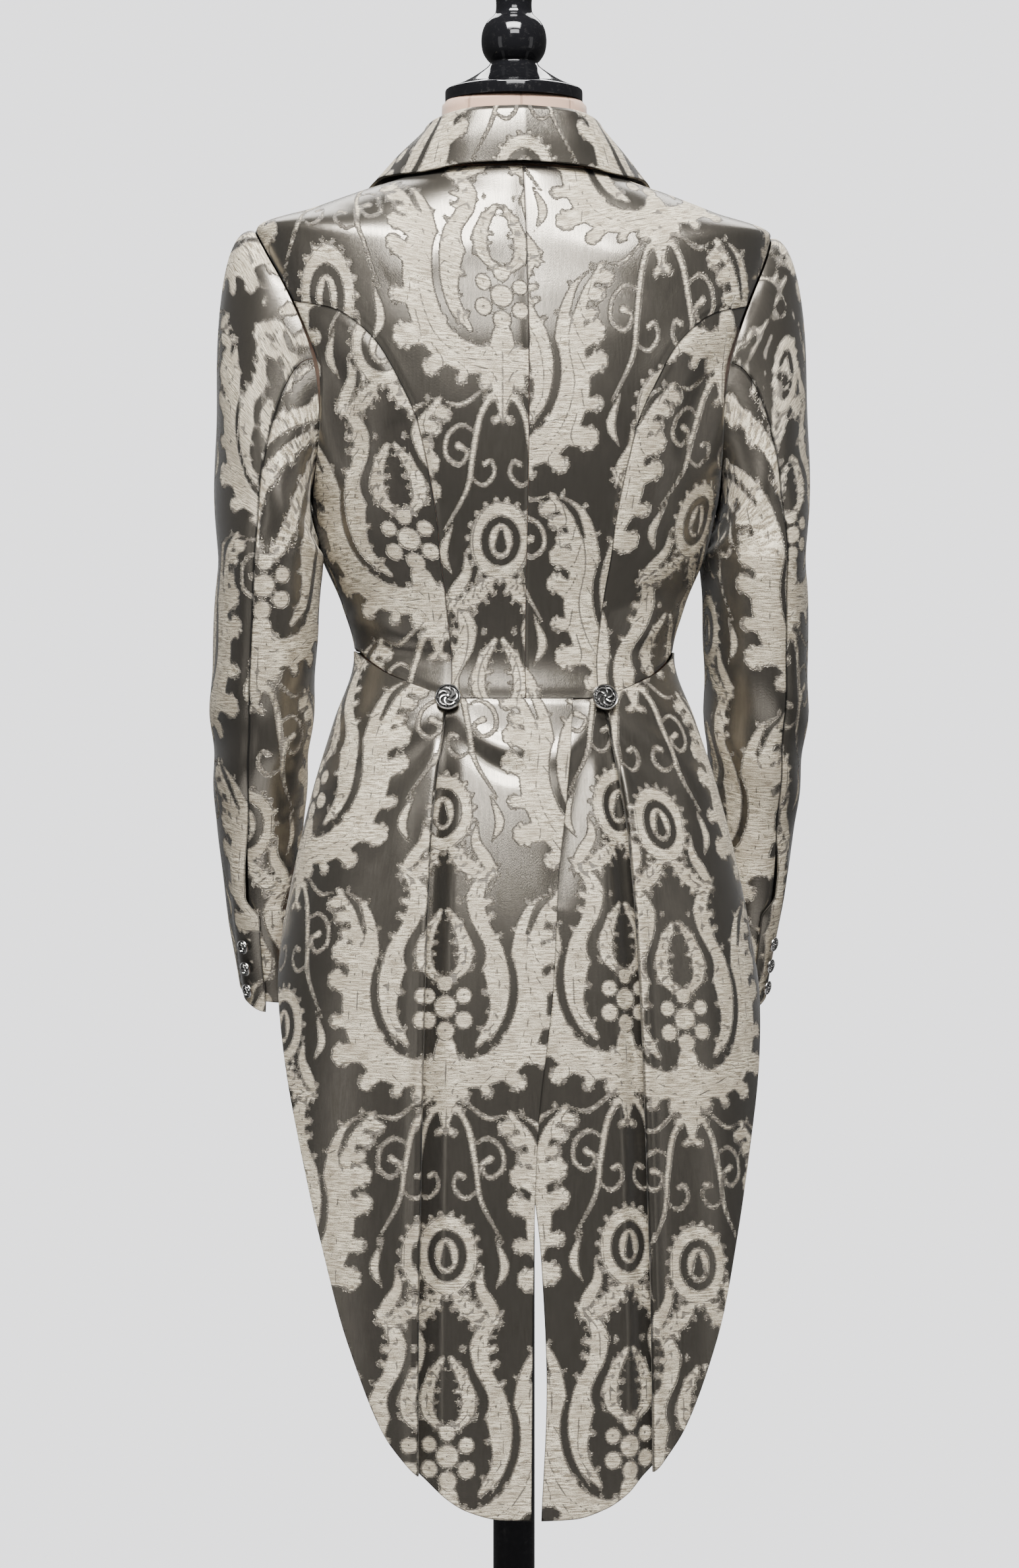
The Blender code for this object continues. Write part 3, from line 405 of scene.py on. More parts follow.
# The panels' grids: cell sizes, and counts of cells, rows or columns.
CELL = 0.0026
FRONT_CELL = 0.0034
LEAST_STEP = 0.0015
NECK_CELLS = 36
SHOULDER_CELLS = 34
SIDE_BACK_CELLS = 46
SIDE_FRONT_CELLS = 30
FRONT_CELLS = 60
FRONT_CROWD = 1.25
TOP_HOLD = 4
LAPEL_CELLS = 26
LAPEL_ROWS = 56
COLLAR_COLUMNS = 90
COLLAR_ROWS = 60
COLLAR_FALL_ROW = -8
CENTRE_TAIL_COLUMNS = 52
CENTRE_TAIL_ROWS = 232
CENTRE_TAIL_ROUNDS = 4
SIDE_TAIL_ROWS = 224
SIDE_TAIL_ROUNDS = 6
TAIL_CROWD = 1.1
PLEAT_COLUMNS = 19
BESIDE_COLUMNS = 12
SPREAD_COLUMNS = 136
SPREAD_CURVE = 0.92
SPREAD_RUN = 0.2
SIDE_HEM_START = 0.46
CAP_ROWS = 92
ARM_ROWS = 142
UPPER_COLUMNS = 50
UNDER_COLUMNS = 38
TUBE_SIDES = 6

# The drape that only the dressed coat has. An ease is where a change starts and where it is whole.
SEAM_DIP = 0.0013
SEAM_DIP_REACH = 0.0035
CREASE_LEGS = 8
CREASE_REACH = 3
CREASE_START = 0.06
CREASE_FADE = 0.6
CREASE_SIDE_EASE = (0.0, 0.03)
PLEAT_ROLL = 0.0032
PLEAT_ROLL_REACH = 0.008
PLEAT_ROLL_EASE = (0.0, 0.06)
PLEAT_LIFT_SHARE = 0.6
PLEAT_DIP = 0.0085
PLEAT_DIP_EASE = (0.0, 0.10)
UNDER_PLEAT_EASE = (-0.020, -0.002)
PLEAT_CALM = 0.7
# How far the painted shadow along the pleat's folded edge reaches.
PLEAT_SHADOW_REACH = 0.0024
VENT_EASE = {1: (0.012, 0.036), -1: (0.038, 0.058)}
OVERLAP_EASE = (0.56, 0.65)
LAPEL_SPRING = 0.0016
ANGLE_WEIGHT = 500
ARMHOLE_HOLLOW = 0.007
HOLLOW_BACK = (35, 60)
HOLLOW_FRONT = (120, 150)
HOLLOW_FOOT = (1.20, 1.25)
HOLLOW_TOP = (1.34, 1.38)
TORSO_LEVELS = (FORM_BOTTOM + FORM_ROUND, 1.340)
SHOULDER_LEVELS = (1.345, 1.514)
TORSO_ROWS = 120
SHOULDER_ROWS = 40
TORSO_TURN = 3.0
COVER_SEAMS = (0, 48, 90, 132, 180)
COLLAR_WALL = 0.0020
COLLAR_HUG = 0.0075
COLLAR_DROP = 0.0040
COLLAR_HUG_EASE = (0.30, 0.65)
TIP_ACROSS_EASE = (0.72, 1.0)
TIP_DOWN_EASE = (0.93, 1.0)
TIP_RUN = 0.6
SLEEVE_SEAM_GAP = 1.6 * SEAM_GAP
VENT_LAP_EASE = (VENT_SHARE, VENT_SHARE + 0.03)
VENT_RISE_EASE = (VENT_SHARE - 0.10, VENT_SHARE - 0.03)
VENT_RISE_TURN = (-35, -12)

# Where the damask starts on each panel, across and along, and the angle at which its grain runs.
BACK_DAMASK = {1: (-0.020, 0.197), -1: (0.105, 0.101)}
SIDE_BACK_DAMASK = {1: (0.030, 0.050), -1: (0.020, 0.180)}
SIDE_FRONT_DAMASK = (0.05, 0.10)
FRONT_DAMASK = (0.03, 0.02)
LAPEL_DAMASK = (0.02, 0.05)
COLLAR_DAMASK = 0.05
CENTRE_TAIL_DAMASK = {1: (-0.066, 0.074), -1: (0.071, 0.069)}
SIDE_TAIL_DAMASK = {1: (0.034, 0.079), -1: (0.014, 0.090)}
SLEEVE_DAMASK = {1: (0.0, 0.12), -1: (0.1, 0.03)}
UNDER_DAMASK = {1: (0.06, 0.2), -1: (0.02, 0.05)}
SIDE_BACK_GRAIN = 60.0
SIDE_FRONT_GRAIN = 120.0
FRONT_GRAIN = 170.0
LAPEL_GRAIN = 150.0
SIDE_TAIL_GRAIN = 45.0

# The collar's roll from its stand to its fall, as lines that lie out and up from the roll's top.
Offset = namedtuple("Offset", "out up")
ROLL_OVER = [
    Offset(-0.0035, -0.0060),
    Offset(-0.0018, -0.0012),
    Offset(0.0000, 0.0000),
    Offset(0.0022, -0.0012),
    Offset(0.0045, -0.0050),
]
FALL_BELLY = Offset(0.0015, 0.0010)

# A button's face and boss in shares of its radius, out from its axis and up from its stem or dish.
BUTTON_FACE = [
    Offset(0.0, 0.30),
    Offset(0.50, 0.28),
    Offset(0.78, 0.24),
    Offset(0.85, 0.36),
    Offset(0.92, 0.40),
    Offset(0.99, 0.32),
    Offset(1.0, 0.20),
    Offset(0.93, 0.06),
    Offset(0.80, 0.0),
]
BUTTON_BOSS = [Offset(0.0, 0.24), Offset(0.10, 0.21), Offset(0.16, 0.0)]
BUTTON_SHANK = 0.36
BUTTON_STEM = 0.26
BUTTON_DISH = 0.27
BUTTON_SCROLLS = 6
SCROLL_POINTS = 15
SCROLL_LIFT = 0.05
SCROLL_RISE = 0.10
SCROLL_START = 0.20
SCROLL_REACH = 0.50
SCROLL_BOW = 2.2
SCROLL_TURN = 1.9
SCROLL_PHASE = -0.35
SCROLL_THICK = 0.075
SCROLL_TAPER = 0.035
BUTTON_BEADS = 24
BEAD_RADIUS = 0.05
BEAD_RING = 0.74
BEAD_LIFT = 0.02
BOSS_SINK = 0.0002

# The tails' ripples: each wave's size, its turns across and up, and its start.
Wave = namedtuple("Wave", "size across up start")
TAIL_WAVES = [Wave(1.0, 62, 4, 1.3), Wave(0.6, 97, -3, -2.0), Wave(0.5, 31, 7, 0.0)]
TAIL_RIPPLE = 0.0016
TAIL_RIPPLE_EASE = (0.50, 0.98)
SIDE_RIPPLE = 0.002
SIDE_RIPPLE_EASE = (60, 120)
SIDE_RIPPLE_DROP = (0.02, 0.2)

# The sleeves' folds: height, place down the arm and spread, and how they wind round it.
SleeveFold = namedtuple("SleeveFold", "height at spread turns slope lean")
SLEEVE_FOLDS = [
    SleeveFold(0.0016, 0.62, 0.10, 2, 46, 1),
    SleeveFold(0.0018, 0.30, 0.09, 3, -40, 2),
    SleeveFold(0.0009, 0.85, 0.12, 1, 30, -1),
]
SLEEVE_LEAN = 0.4
GATHER = 0.0005
GATHERS = 16
GATHER_REACH = 0.10
GATHER_EASE = (60, 110)
GATHER_START = (0, 0.02)

# Creases on the back, x to the wearer's left and z up: a curved line, its width, and its height out.
Crease = namedtuple("Crease", "start middle end width height")
BACK_CREASES = [
    Crease((0.056, 1.046), (0.096, 1.032), (0.150, 0.985), 0.009, 0.0030),
    Crease((0.058, 1.036), (0.092, 1.012), (0.136, 0.955), 0.011, -0.0026),
    Crease((0.060, 1.028), (0.084, 0.990), (0.112, 0.925), 0.010, 0.0022),
    Crease((0.062, 1.022), (0.070, 0.970), (0.076, 0.880), 0.008, -0.0022),
    Crease((0.052, 1.040), (0.022, 1.006), (-0.006, 1.022), 0.009, 0.0034),
    Crease((0.050, 1.030), (0.020, 0.990), (-0.008, 1.002), 0.008, -0.0028),
    Crease((-0.050, 1.040), (-0.030, 1.004), (-0.010, 1.016), 0.009, 0.0030),
    Crease((-0.048, 1.028), (-0.030, 0.975), (-0.018, 0.900), 0.010, -0.0024),
    Crease((-0.056, 1.044), (-0.094, 1.030), (-0.146, 0.978), 0.010, 0.0030),
    Crease((-0.058, 1.034), (-0.092, 1.005), (-0.128, 0.940), 0.011, -0.0026),
    Crease((-0.062, 1.026), (-0.080, 0.980), (-0.100, 0.900), 0.009, 0.0020),
    Crease((0.066, 1.100), (0.100, 1.106), (0.128, 1.122), 0.008, 0.0018),
    Crease((0.060, 1.088), (0.096, 1.090), (0.124, 1.100), 0.007, -0.0018),
    Crease((-0.066, 1.096), (-0.098, 1.104), (-0.126, 1.126), 0.008, 0.0018),
    Crease((-0.058, 1.118), (-0.094, 1.128), (-0.122, 1.148), 0.008, -0.0016),
    Crease((0.166, 1.300), (0.148, 1.260), (0.146, 1.205), 0.010, 0.0040),
    Crease((0.152, 1.312), (0.130, 1.280), (0.126, 1.225), 0.010, -0.0036),
    Crease((0.136, 1.330), (0.108, 1.310), (0.096, 1.262), 0.011, 0.0024),
    Crease((-0.166, 1.298), (-0.146, 1.262), (-0.142, 1.200), 0.010, 0.0040),
    Crease((-0.150, 1.316), (-0.128, 1.288), (-0.120, 1.232), 0.010, -0.0034),
    Crease((-0.134, 1.338), (-0.104, 1.320), (-0.090, 1.280), 0.012, 0.0022),
    Crease((0.020, 1.402), (0.060, 1.392), (0.106, 1.372), 0.013, 0.0016),
    Crease((-0.020, 1.404), (-0.064, 1.396), (-0.112, 1.368), 0.013, 0.0016),
]


def smooth(keys, values):
    """A smooth curve through the values that never overshoots them."""
    x = np.array(keys, float)
    y = np.array(values, float)
    run = np.diff(x)
    rise = np.diff(y) / run
    slope = np.empty_like(y)
    slope[0], slope[-1] = rise[0], rise[-1]
    same = rise[:-1] * rise[1:] > 0
    safe = np.where(same, rise[:-1] + rise[1:], 1.0)
    slope[1:-1] = np.where(same, 2 * rise[:-1] * rise[1:] / safe, 0.0)

    def at(where):
        where = np.clip(np.asarray(where, float), x[0], x[-1])
        i = np.clip(np.searchsorted(x, where, side="right") - 1, 0, len(x) - 2)
        t = (where - x[i]) / run[i]
        curve = y[i] * (1 + 2 * t) * (1 - t) ** 2 + y[i + 1] * t * t * (3 - 2 * t)
        return curve + run[i] * t * (1 - t) * (slope[i] * (1 - t) - slope[i + 1] * t)

    return at


def curves(rows):
    """One smooth curve for each column of a table, over its first column."""
    keys = [row[0] for row in rows]
    return {name: smooth(keys, [getattr(row, name) for row in rows]) for name in rows[0]._fields[1:]}


def ramp(value, start, end):
    """0 before start, 1 after end, and an even step between."""
    t = np.clip((np.asarray(value, float) - start) / (end - start), 0.0, 1.0)
    return t * t * (3 - 2 * t)


def unit(vectors):
    return vectors / np.linalg.norm(vectors, axis=-1, keepdims=True)


def run_along(points):
    """Distance run along a line of points in space, from its first one."""
    return np.concatenate([[0.0], np.cumsum(np.linalg.norm(np.diff(points, axis=0), axis=1))])


def through(rows, count):
    """This many rows on a smooth curve through a few control rows, each number on its own."""
    stack = np.array(rows, float)
    at = np.linspace(0, len(stack) - 1, count)
    padded = np.concatenate([2 * stack[:1] - stack[1:2], stack, 2 * stack[-1:] - stack[-2:-1]])
    i = np.minimum(at.astype(int), len(stack) - 2)
    t = (at - i).reshape(-1, *[1] * (stack.ndim - 1))
    a, b, c, d = (padded[i + k] for k in range(4))
    return 0.5 * (2 * b + (c - a) * t + (2 * a - 5 * b + 4 * c - d) * t**2 + (3 * b - a - 3 * c + d) * t**3)


def bend(dots, count):
    """A smooth run of dots through these, count to each leg."""
    return through(dots, count * (len(dots) - 1) + 1)


def between_cells(table, x, y):
    """A table's values at places between its cells."""
    i = np.minimum(x.astype(int), table.shape[1] - 2)
    j = np.minimum(y.astype(int), table.shape[0] - 2)
    u, v = x - i, y - j
    low = table[j, i] * (1 - u) + table[j, i + 1] * u
    high = table[j + 1, i] * (1 - u) + table[j + 1, i + 1] * u
    return low * (1 - v) + high * v


RING = curves(RINGS)
SLEEVE_AT = curves([Station(-row.height, *row[1:]) for row in SLEEVE])
SLEEVE_TURN = curves(SLEEVE_SEAMS)
waist_level = curves(WAIST)["level"]
hem_level = curves(HEM)["level"]
cover_gap = curves(FORM_COVER)["gap"]


def across_at(table):
    return curves(sorted(table))["across"]


pleat_across = across_at(PLEAT)


def ring_point(angle, level):
    """Points of the coat's outer surface."""
    turn = np.radians(angle)
    sin, cos = np.sin(turn), np.cos(turn)
    centre = RING["centre"](level)
    depth = np.where(cos > 0, RING["back"](level) - centre, centre - RING["front"](level))
    power = RING["square"](level)
    reach = (np.abs(sin) / RING["half"](level)) ** power + (np.abs(cos) / depth) ** power
    radius = reach ** (-1 / power)
    side = RING["side_level"](level)
    end = np.where(cos > 0, level, RING["front_level"](level))
    return np.stack([radius * sin, centre + radius * cos, side + (end - side) * cos**2], -1)


def normal_at(angle, level):
    around = ring_point(angle + ANGLE_STEP, level) - ring_point(angle - ANGLE_STEP, level)
    up = ring_point(angle, level + LEVEL_STEP) - ring_point(angle, level - LEVEL_STEP)
    return unit(np.cross(up, around))


def on_body(angle, level, out=0.0):
    """Points that lie out metres outside the coat's outer surface."""
    angle, level, out = np.broadcast_arrays(np.asarray(angle, float), level, out)
    return ring_point(angle, level) + normal_at(angle, level) * out[..., None]


def angle_of(across, level, front=False):
    """The angle at which a ring passes this far from the centre line."""
    across, level = np.broadcast_arrays(np.asarray(across, float), level)
    low, high = np.zeros(across.shape), np.full(across.shape, 90.0)
    for _ in range(HALVINGS):
        middle = (low + high) / 2
        short = ring_point(180 - middle if front else middle, level)[..., 0] < np.abs(across)
        low, high = np.where(short, middle, low), np.where(short, high, middle)
    angle = (low + high) / 2 * np.where(across < 0, -1, 1)
    return 180 - angle if front else angle


def locate(table, front=False):
    """Angle and level of each seam point given by its height and distance from the centre."""
    height = np.array([row.height for row in table])
    across = np.array([row.across for row in table])
    level = height.copy()
    for _ in range(LOCATE_ROUNDS):
        angle = angle_of(across, level, front)
        level = level + (height - ring_point(angle, level)[:, 2]) * LOCATE_SHARE
    return np.stack([angle, level], -1)


def length_of(line):
    """Distance run on the surface along a line of angles and levels."""
    return run_along(ring_point(line[:, 0], line[:, 1]))


def run_of(line):
    return length_of(line)[-1]


def spaced(line, shares):
    run = length_of(line)
    at = np.asarray(shares) * run[-1]
    return np.stack([np.interp(at, run, line[:, 0]), np.interp(at, run, line[:, 1])], -1)


def flowing(points, count=80):
    """A smooth line through points."""
    run = length_of(points)
    at = np.linspace(0, run[-1], count)
    return np.stack([smooth(run, points[:, 0])(at), smooth(run, points[:, 1])(at)], -1)


def joined(*lines):
    return np.concatenate([lines[0]] + [line[1:] for line in lines[1:]])


def straight(start, end, count=40):
    return np.linspace(start, end, count)


def armhole(turn):
    """Angle and level round the armhole: 0 at the shoulder, 90 at the back, 180 under the arm."""
    turn = np.radians(turn)
    depth = np.where(np.sin(turn) > 0, -ARMHOLE_BACK_DEPTH, ARMHOLE_FRONT_DEPTH)
    angle = 90 + depth * np.abs(np.sin(turn)) ** ARMHOLE_CURVE
    return np.stack([angle, ARMHOLE_MIDDLE + ARMHOLE_HALF_HEIGHT * np.cos(turn)], -1)


def waist_line(start, end):
    angle = np.linspace(start, end, 60)
    return np.stack([angle, waist_level(angle)], -1)


def patch(bottom, top, left, right, across, up, hold=1):
    """A grid of angles and levels inside four edge lines. A hold over 1 keeps the top's bends near it."""
    low, high = spaced(bottom, across), spaced(top, across)
    near, far = spaced(left, up), spaced(right, up)
    u, v = np.asarray(across)[:, None], np.asarray(up)[:, None, None]
    ruled = (1 - u) * near[:, None] + u * far[:, None]
    low_bend = low - (1 - u) * low[0] - u * low[-1]
    high_bend = high - (1 - u) * high[0] - u * high[-1]
    return ruled + (1 - v) * low_bend + v**hold * high_bend


def by_parts(*parts):
    """Shares along joined lines, each line with its own count of steps and its ends kept."""
    lengths = [run_of(line) for line, _ in parts]
    ends = np.concatenate([[0.0], np.cumsum(lengths)]) / sum(lengths)
    steps = [np.linspace(ends[i], ends[i + 1], parts[i][1] + 1)[1:] for i in range(len(parts))]
    return np.concatenate([[0.0], *steps])


def shares(count, crowd=1.0):
    """Steps from 0 to 1. A crowd over 1 makes those near 1 shorter."""
    return 1 - (1 - np.linspace(0, 1, count + 1)) ** crowd


def trimmed(grid, sides="left right bottom top", gap=SEAM_GAP):
    """Draws the named edges of a grid of points back by half a seam gap."""
    moved = grid.copy()
    edges = {"left": (0, 1, 1), "right": (-1, -2, 1), "bottom": (0, 1, 0), "top": (-1, -2, 0)}
    for name in sides.split():
        edge, inner, axis = edges[name]
        rim = grid[:, edge] if axis else grid[edge]
        inside = (grid[:, inner] if axis else grid[inner]) - rim
        along = unit(np.gradient(rim, axis=0))
        inside = unit(inside - (inside * along).sum(1, keepdims=True) * along)
        if axis:
            moved[:, edge] += inside * gap / 2
        else:
            moved[edge] += inside * gap / 2
    return moved


def side_name(side):
    return "left" if side > 0 else "right"


def seam_to_waist(turn, table, front=False):
    """A seam's line from the waist seam up to its turn on the armhole."""
    line = flowing(np.concatenate([armhole(turn)[None], locate(table, front)]))
    line[-1, 1] = waist_level(line[-1, 0])
    return line[::-1]


def roll_line():
    """From the break point up to the neck seam at the shoulder."""
    break_angle = 180 + math.degrees(FRONT_LAP / BREAK_RADIUS)
    ends = np.array([[90.0, NECK_SEAM]]), np.array([[break_angle, BREAK_LEVEL]])
    return flowing(np.concatenate([ends[0], locate(ROLL_LINE, front=True), ends[1]]))[::-1]


def armhole_line(start, end):
    return armhole(straight(start, end))


def front_out(points, side):
    """How far the right front is lifted where it laps over the left one."""
    if side > 0:
        return np.zeros(points.shape[:-1])
    return LAP_LIFT * (1 - ramp(points[..., 0], *LAP_EASE))


def seam_round_neck(share):
    """The neck seam and the top of the roll line, by the collar's shares."""
    back_part = straight((0.0, NECK_SEAM), (90.0, NECK_SEAM))
    roll = roll_line()[::-1]
    front_part = roll[: int(len(roll) * COLLAR_ROLL_SHARE)]
    at_back = np.clip(share / SIDE_SHARE, 0, 1)
    at_front = np.clip((share - SIDE_SHARE) / (1 - SIDE_SHARE), 0, 1)
    return np.where((share < SIDE_SHARE)[:, None], spaced(back_part, at_back), spaced(front_part, at_front))


def sleeve_ring(turn, height):
    """Points of the sleeve below its cap."""
    at = {name: curve(-np.asarray(height)) for name, curve in SLEEVE_AT.items()}
    turn = np.radians(turn)
    tilt = np.radians(at["tilt"])
    deep = at["deep"] * np.sin(turn)
    x = at["x"] + at["across"] * np.cos(turn)
    return np.stack(np.broadcast_arrays(x, at["y"] + deep * np.cos(tilt), height - deep * np.sin(tilt)), -1)


def sleeve_cap(turn, share):
    """Points between the armhole and the sleeve's widest ring."""
    angle, level = np.moveaxis(armhole(turn % 360), -1, 0)
    low = (1 - np.cos(np.radians(turn))) / 2
    gap = CAP_GAP + CAP_GAP_ADDED * low
    start = on_body(angle, level, MIDDLE) + gap[..., None] * np.array([1.0, 0, 0])
    end = sleeve_ring(turn, SLEEVE[0].height)
    leave = np.stack([CAP_OUT + CAP_OUT_ADDED * low**CAP_OUT_CURVE, 0 * low, CAP_UP + CAP_UP_ADDED * low], -1)
    reach = np.linalg.norm(end - start, axis=-1)
    arrive = np.stack([0 * low, 0 * low, -reach], -1)
    t = share[..., None]
    return (
        start * (1 + 2 * t) * (1 - t) ** 2
        + end * t * t * (3 - 2 * t)
        + leave * t * (1 - t) ** 2
        - arrive * t * t * (1 - t)
    )


def sleeve_point(turn, down):
    """Points of the sleeve by turn and by share of its length, 0 at the armhole."""
    turn, down = np.broadcast_arrays(np.asarray(turn, float), down)
    cap = sleeve_cap(turn, np.clip(down / CAP_SHARE, 0, 1))
    share = np.maximum((down - CAP_SHARE) / (1 - CAP_SHARE), 0)
    tube = sleeve_ring(turn, SLEEVE[0].height + (SLEEVE[-1].height - SLEEVE[0].height) * share)
    return np.where((down < CAP_SHARE)[..., None], cap, tube)


def sleeve_out(turn, down, out):
    """Sleeve points moved out along the surface."""
    around = sleeve_point(turn + 1, down) - sleeve_point(turn - 1, down)
    nearer = np.maximum(down - DOWN_STEP, 0)
    along = sleeve_point(turn, down + DOWN_STEP) - sleeve_point(turn, nearer)
    normal = unit(np.cross(along, around))
    return sleeve_point(turn, down) + normal * np.asarray(out)[..., None]


def seat(base, place, axis, reach):
    """The place moved along the axis to just above what the piece named base has under a button."""
    graph = bpy.context.evaluated_depsgraph_get()
    tree = BVHTree.FromObject(bpy.data.objects[base], graph)
    side = axis.orthogonal().normalized() * reach
    other = axis.cross(side)
    heights = []
    for offset in (side * 0, side, -side, other, -other):
        hit = tree.ray_cast(place + offset + axis * SEAT_SEARCH, -axis, 2 * SEAT_SEARCH)[0]
        if hit is not None:
            heights.append((hit - place).dot(axis))
    return place + axis * (max(heights) + SEAT_GAP)


# The damask's repeat in millimetres: a leafy palmette, mirrored about its axis, with a ring below it.
REPEAT_WIDE = 270.0
REPEAT_HIGH = 330.0
RASTER_STEP = 0.5
RASTER_REACH = 6.0
STROKE_STEPS = 8
SPINE_STEPS = 10
RIB_STEPS = 4
COPY_MARGIN = 12.0
DOT_STROKE = 0.05
LEAST_SQUARE = 1e-9

Dot = namedtuple("Dot", "x y r")
STEMS = [
    [Dot(4, 62, 2.8), Dot(16, 44, 3.2), Dot(22, 14, 3.0), Dot(26, -12, 2.6), Dot(42, -42, 1.6)],
    [Dot(20, 30, 1.6), Dot(31, 35, 2.4), Dot(41, 27, 2.6), Dot(42, 13, 2.6), Dot(32, 6, 2.5),
     Dot(26, 15, 2.3), Dot(33, 20, 3.6)],
    [Dot(24, -3, 1.4), Dot(14, -9, 2.4), Dot(6, -1, 2.4), Dot(8, 9, 2.2), Dot(13, 7, 3.0)],
    [Dot(12, 64, 1.8), Dot(30, 50, 2.6), Dot(44, 52, 1.2)],
]
COMMAS = [
    [Dot(96, 58, 1.0), Dot(101, 74, 5.5), Dot(110, 90, 4.8), Dot(108, 106, 1.2)],
    [Dot(36, 254, 1.0), Dot(43, 270, 4.4), Dot(36, 292, 1.2)],
]

# A plume: its spine with the leaf's half width, how far its lobes stand out on its outer and
# inner side, and how many lobes each side has. CUTS are slits of ground left inside the leaves.
Plume = namedtuple("Plume", "spine outer inner lobes")
PLUMES = [
    Plume([Dot(2, 84, 10), Dot(27, 84, 12), Dot(51, 99, 13), Dot(64, 132, 13), Dot(60, 168, 12),
           Dot(68, 200, 10), Dot(88, 218, 3)], 20, 8, 10),
    Plume([Dot(24, 104, 3), Dot(40, 128, 8), Dot(38, 162, 11), Dot(25, 192, 10), Dot(25, 218, 7),
           Dot(42, 238, 2)], 9, 8, 9),
    Plume([Dot(3, 150, 3), Dot(15, 164, 6), Dot(14, 184, 6), Dot(3, 204, 3)], 5, 6, 6),
    Plume([Dot(0, 102, 9), Dot(0, 80, 12), Dot(0, 56, 7), Dot(0, 36, 1)], 11, 11, 4),
    Plume([Dot(6, 250, 4), Dot(17, 238, 7), Dot(33, 228, 4)], 8, 8, 4),
]
CUTS = [
    [Dot(30, 98, 0.3), Dot(47, 124, 1.9), Dot(51, 152, 1.7), Dot(44, 180, 0.3)],
    [Dot(21, 150, 0.3), Dot(27, 172, 2.6), Dot(17, 196, 1.6), Dot(14, 220, 0.3)],
    [Dot(62, 186, 0.3), Dot(70, 205, 1.5), Dot(82, 216, 0.3)],
]
LOBE_SHARES = (1.0, 0.66, 0.84)

# A lobe in shares of its size: how far its middle stands off the leaf and ahead of its root, the
# radii of its foot and middle, and round the middle a frill of dots by turn and radius.
LOBE_PHASE = 0.6
LOBE_SMALLEST = 0.60
LOBE_OFF = 0.26
LOBE_AHEAD = 0.30
LOBE_FOOT_OUT = 0.5
LOBE_FOOT_RADIUS = 0.46
LOBE_RADIUS = 0.44
FRILL_REACH = 0.45
Frill = namedtuple("Frill", "turn radius")
FRILLS = [Frill(-1.0, 0.17), Frill(-0.35, 0.21), Frill(0.25, 0.24), Frill(0.85, 0.22), Frill(1.45, 0.17)]

# A lobe's thin rib: its foot, middle and tip, as shares of the leaf's half width and the lobe's size.
RIB_FOOT_OUT = 0.35
RIB_FOOT_AHEAD = 0.9
RIB_MIDDLE_OUT = 0.8
RIB_TIP_BACK = 0.55
RIB_TIP_OUT = 0.2

BERRY_LINE_SHARE = 0.92
BERRY_EYE = 0.5
BERRIES = [
    Dot(0, 132, 9.5),
    Dot(0, 114, 8.0),
    Dot(14, 122, 7.5),
    Dot(14, 140, 7.0),
    Dot(0, 149, 7.0),
]
RING_CENTRE = Dot(0, 279, 18.0)
RING_HIGH = 1.35
RING_BAND = 6.0
RING_POINTS = 32
RING_HUB_SHARE = 0.9
RING_GROOVE_SHARE = 0.66
RING_GROOVE_RADIUS = 1.9
RING_LINE_OUT = 3.2
RING_DROP = [Dot(0, -5, 3.4), Dot(0, 2, 2.0), Dot(0, 8, 0.4)]
RING_SCALLOPS = 19
SCALLOP_RADIUS = 3.0
SCALLOP_GAP = 1.0


def plume_parts(plume):
    """A plume's solid strokes with frilled lobes, and the thin lines along and across it."""
    spine = bend(plume.spine, SPINE_STEPS)
    solid, lines = [spine], [spine[2:-2] * [1, 1, 0]]
    run = unit(np.gradient(spine[:, :2], axis=0))
    side = np.stack([run[:, 1], -run[:, 0]], 1)
    for way, reach in ((1, plume.outer), (-1, plume.inner)):
        for k in range(plume.lobes):
            share = (k + LOBE_PHASE) / plume.lobes
            i = int(share * (len(spine) - 1))
            half = spine[i, 2]
            swell = LOBE_SMALLEST + (1 - LOBE_SMALLEST) * math.sin(math.pi * share)
            size = reach * swell * LOBE_SHARES[k % 3]
            root, ahead, out = spine[i, :2], run[i], side[i] * way
            centre = root + out * (half + size * LOBE_OFF) + ahead * size * LOBE_AHEAD
            foot = root + out * half * LOBE_FOOT_OUT
            solid.append(np.array([(*foot, size * LOBE_FOOT_RADIUS), (*centre, size * LOBE_RADIUS)]))
            for frill in FRILLS:
                toward = math.cos(frill.turn) * out + math.sin(frill.turn) * ahead
                solid.append(dot_at(centre + toward * size * FRILL_REACH, size * frill.radius))
            rib = [
                root + out * half * RIB_FOOT_OUT + ahead * size * RIB_FOOT_AHEAD,
                root + out * half * RIB_MIDDLE_OUT,
                centre - ahead * size * RIB_TIP_BACK + out * size * RIB_TIP_OUT,
            ]
            lines.append(bend([(*place, 0) for place in rib], RIB_STEPS))
    return solid, lines


def dot_at(place, radius):
    return np.array([(*place, radius), (place[0], place[1] + DOT_STROKE, radius)])


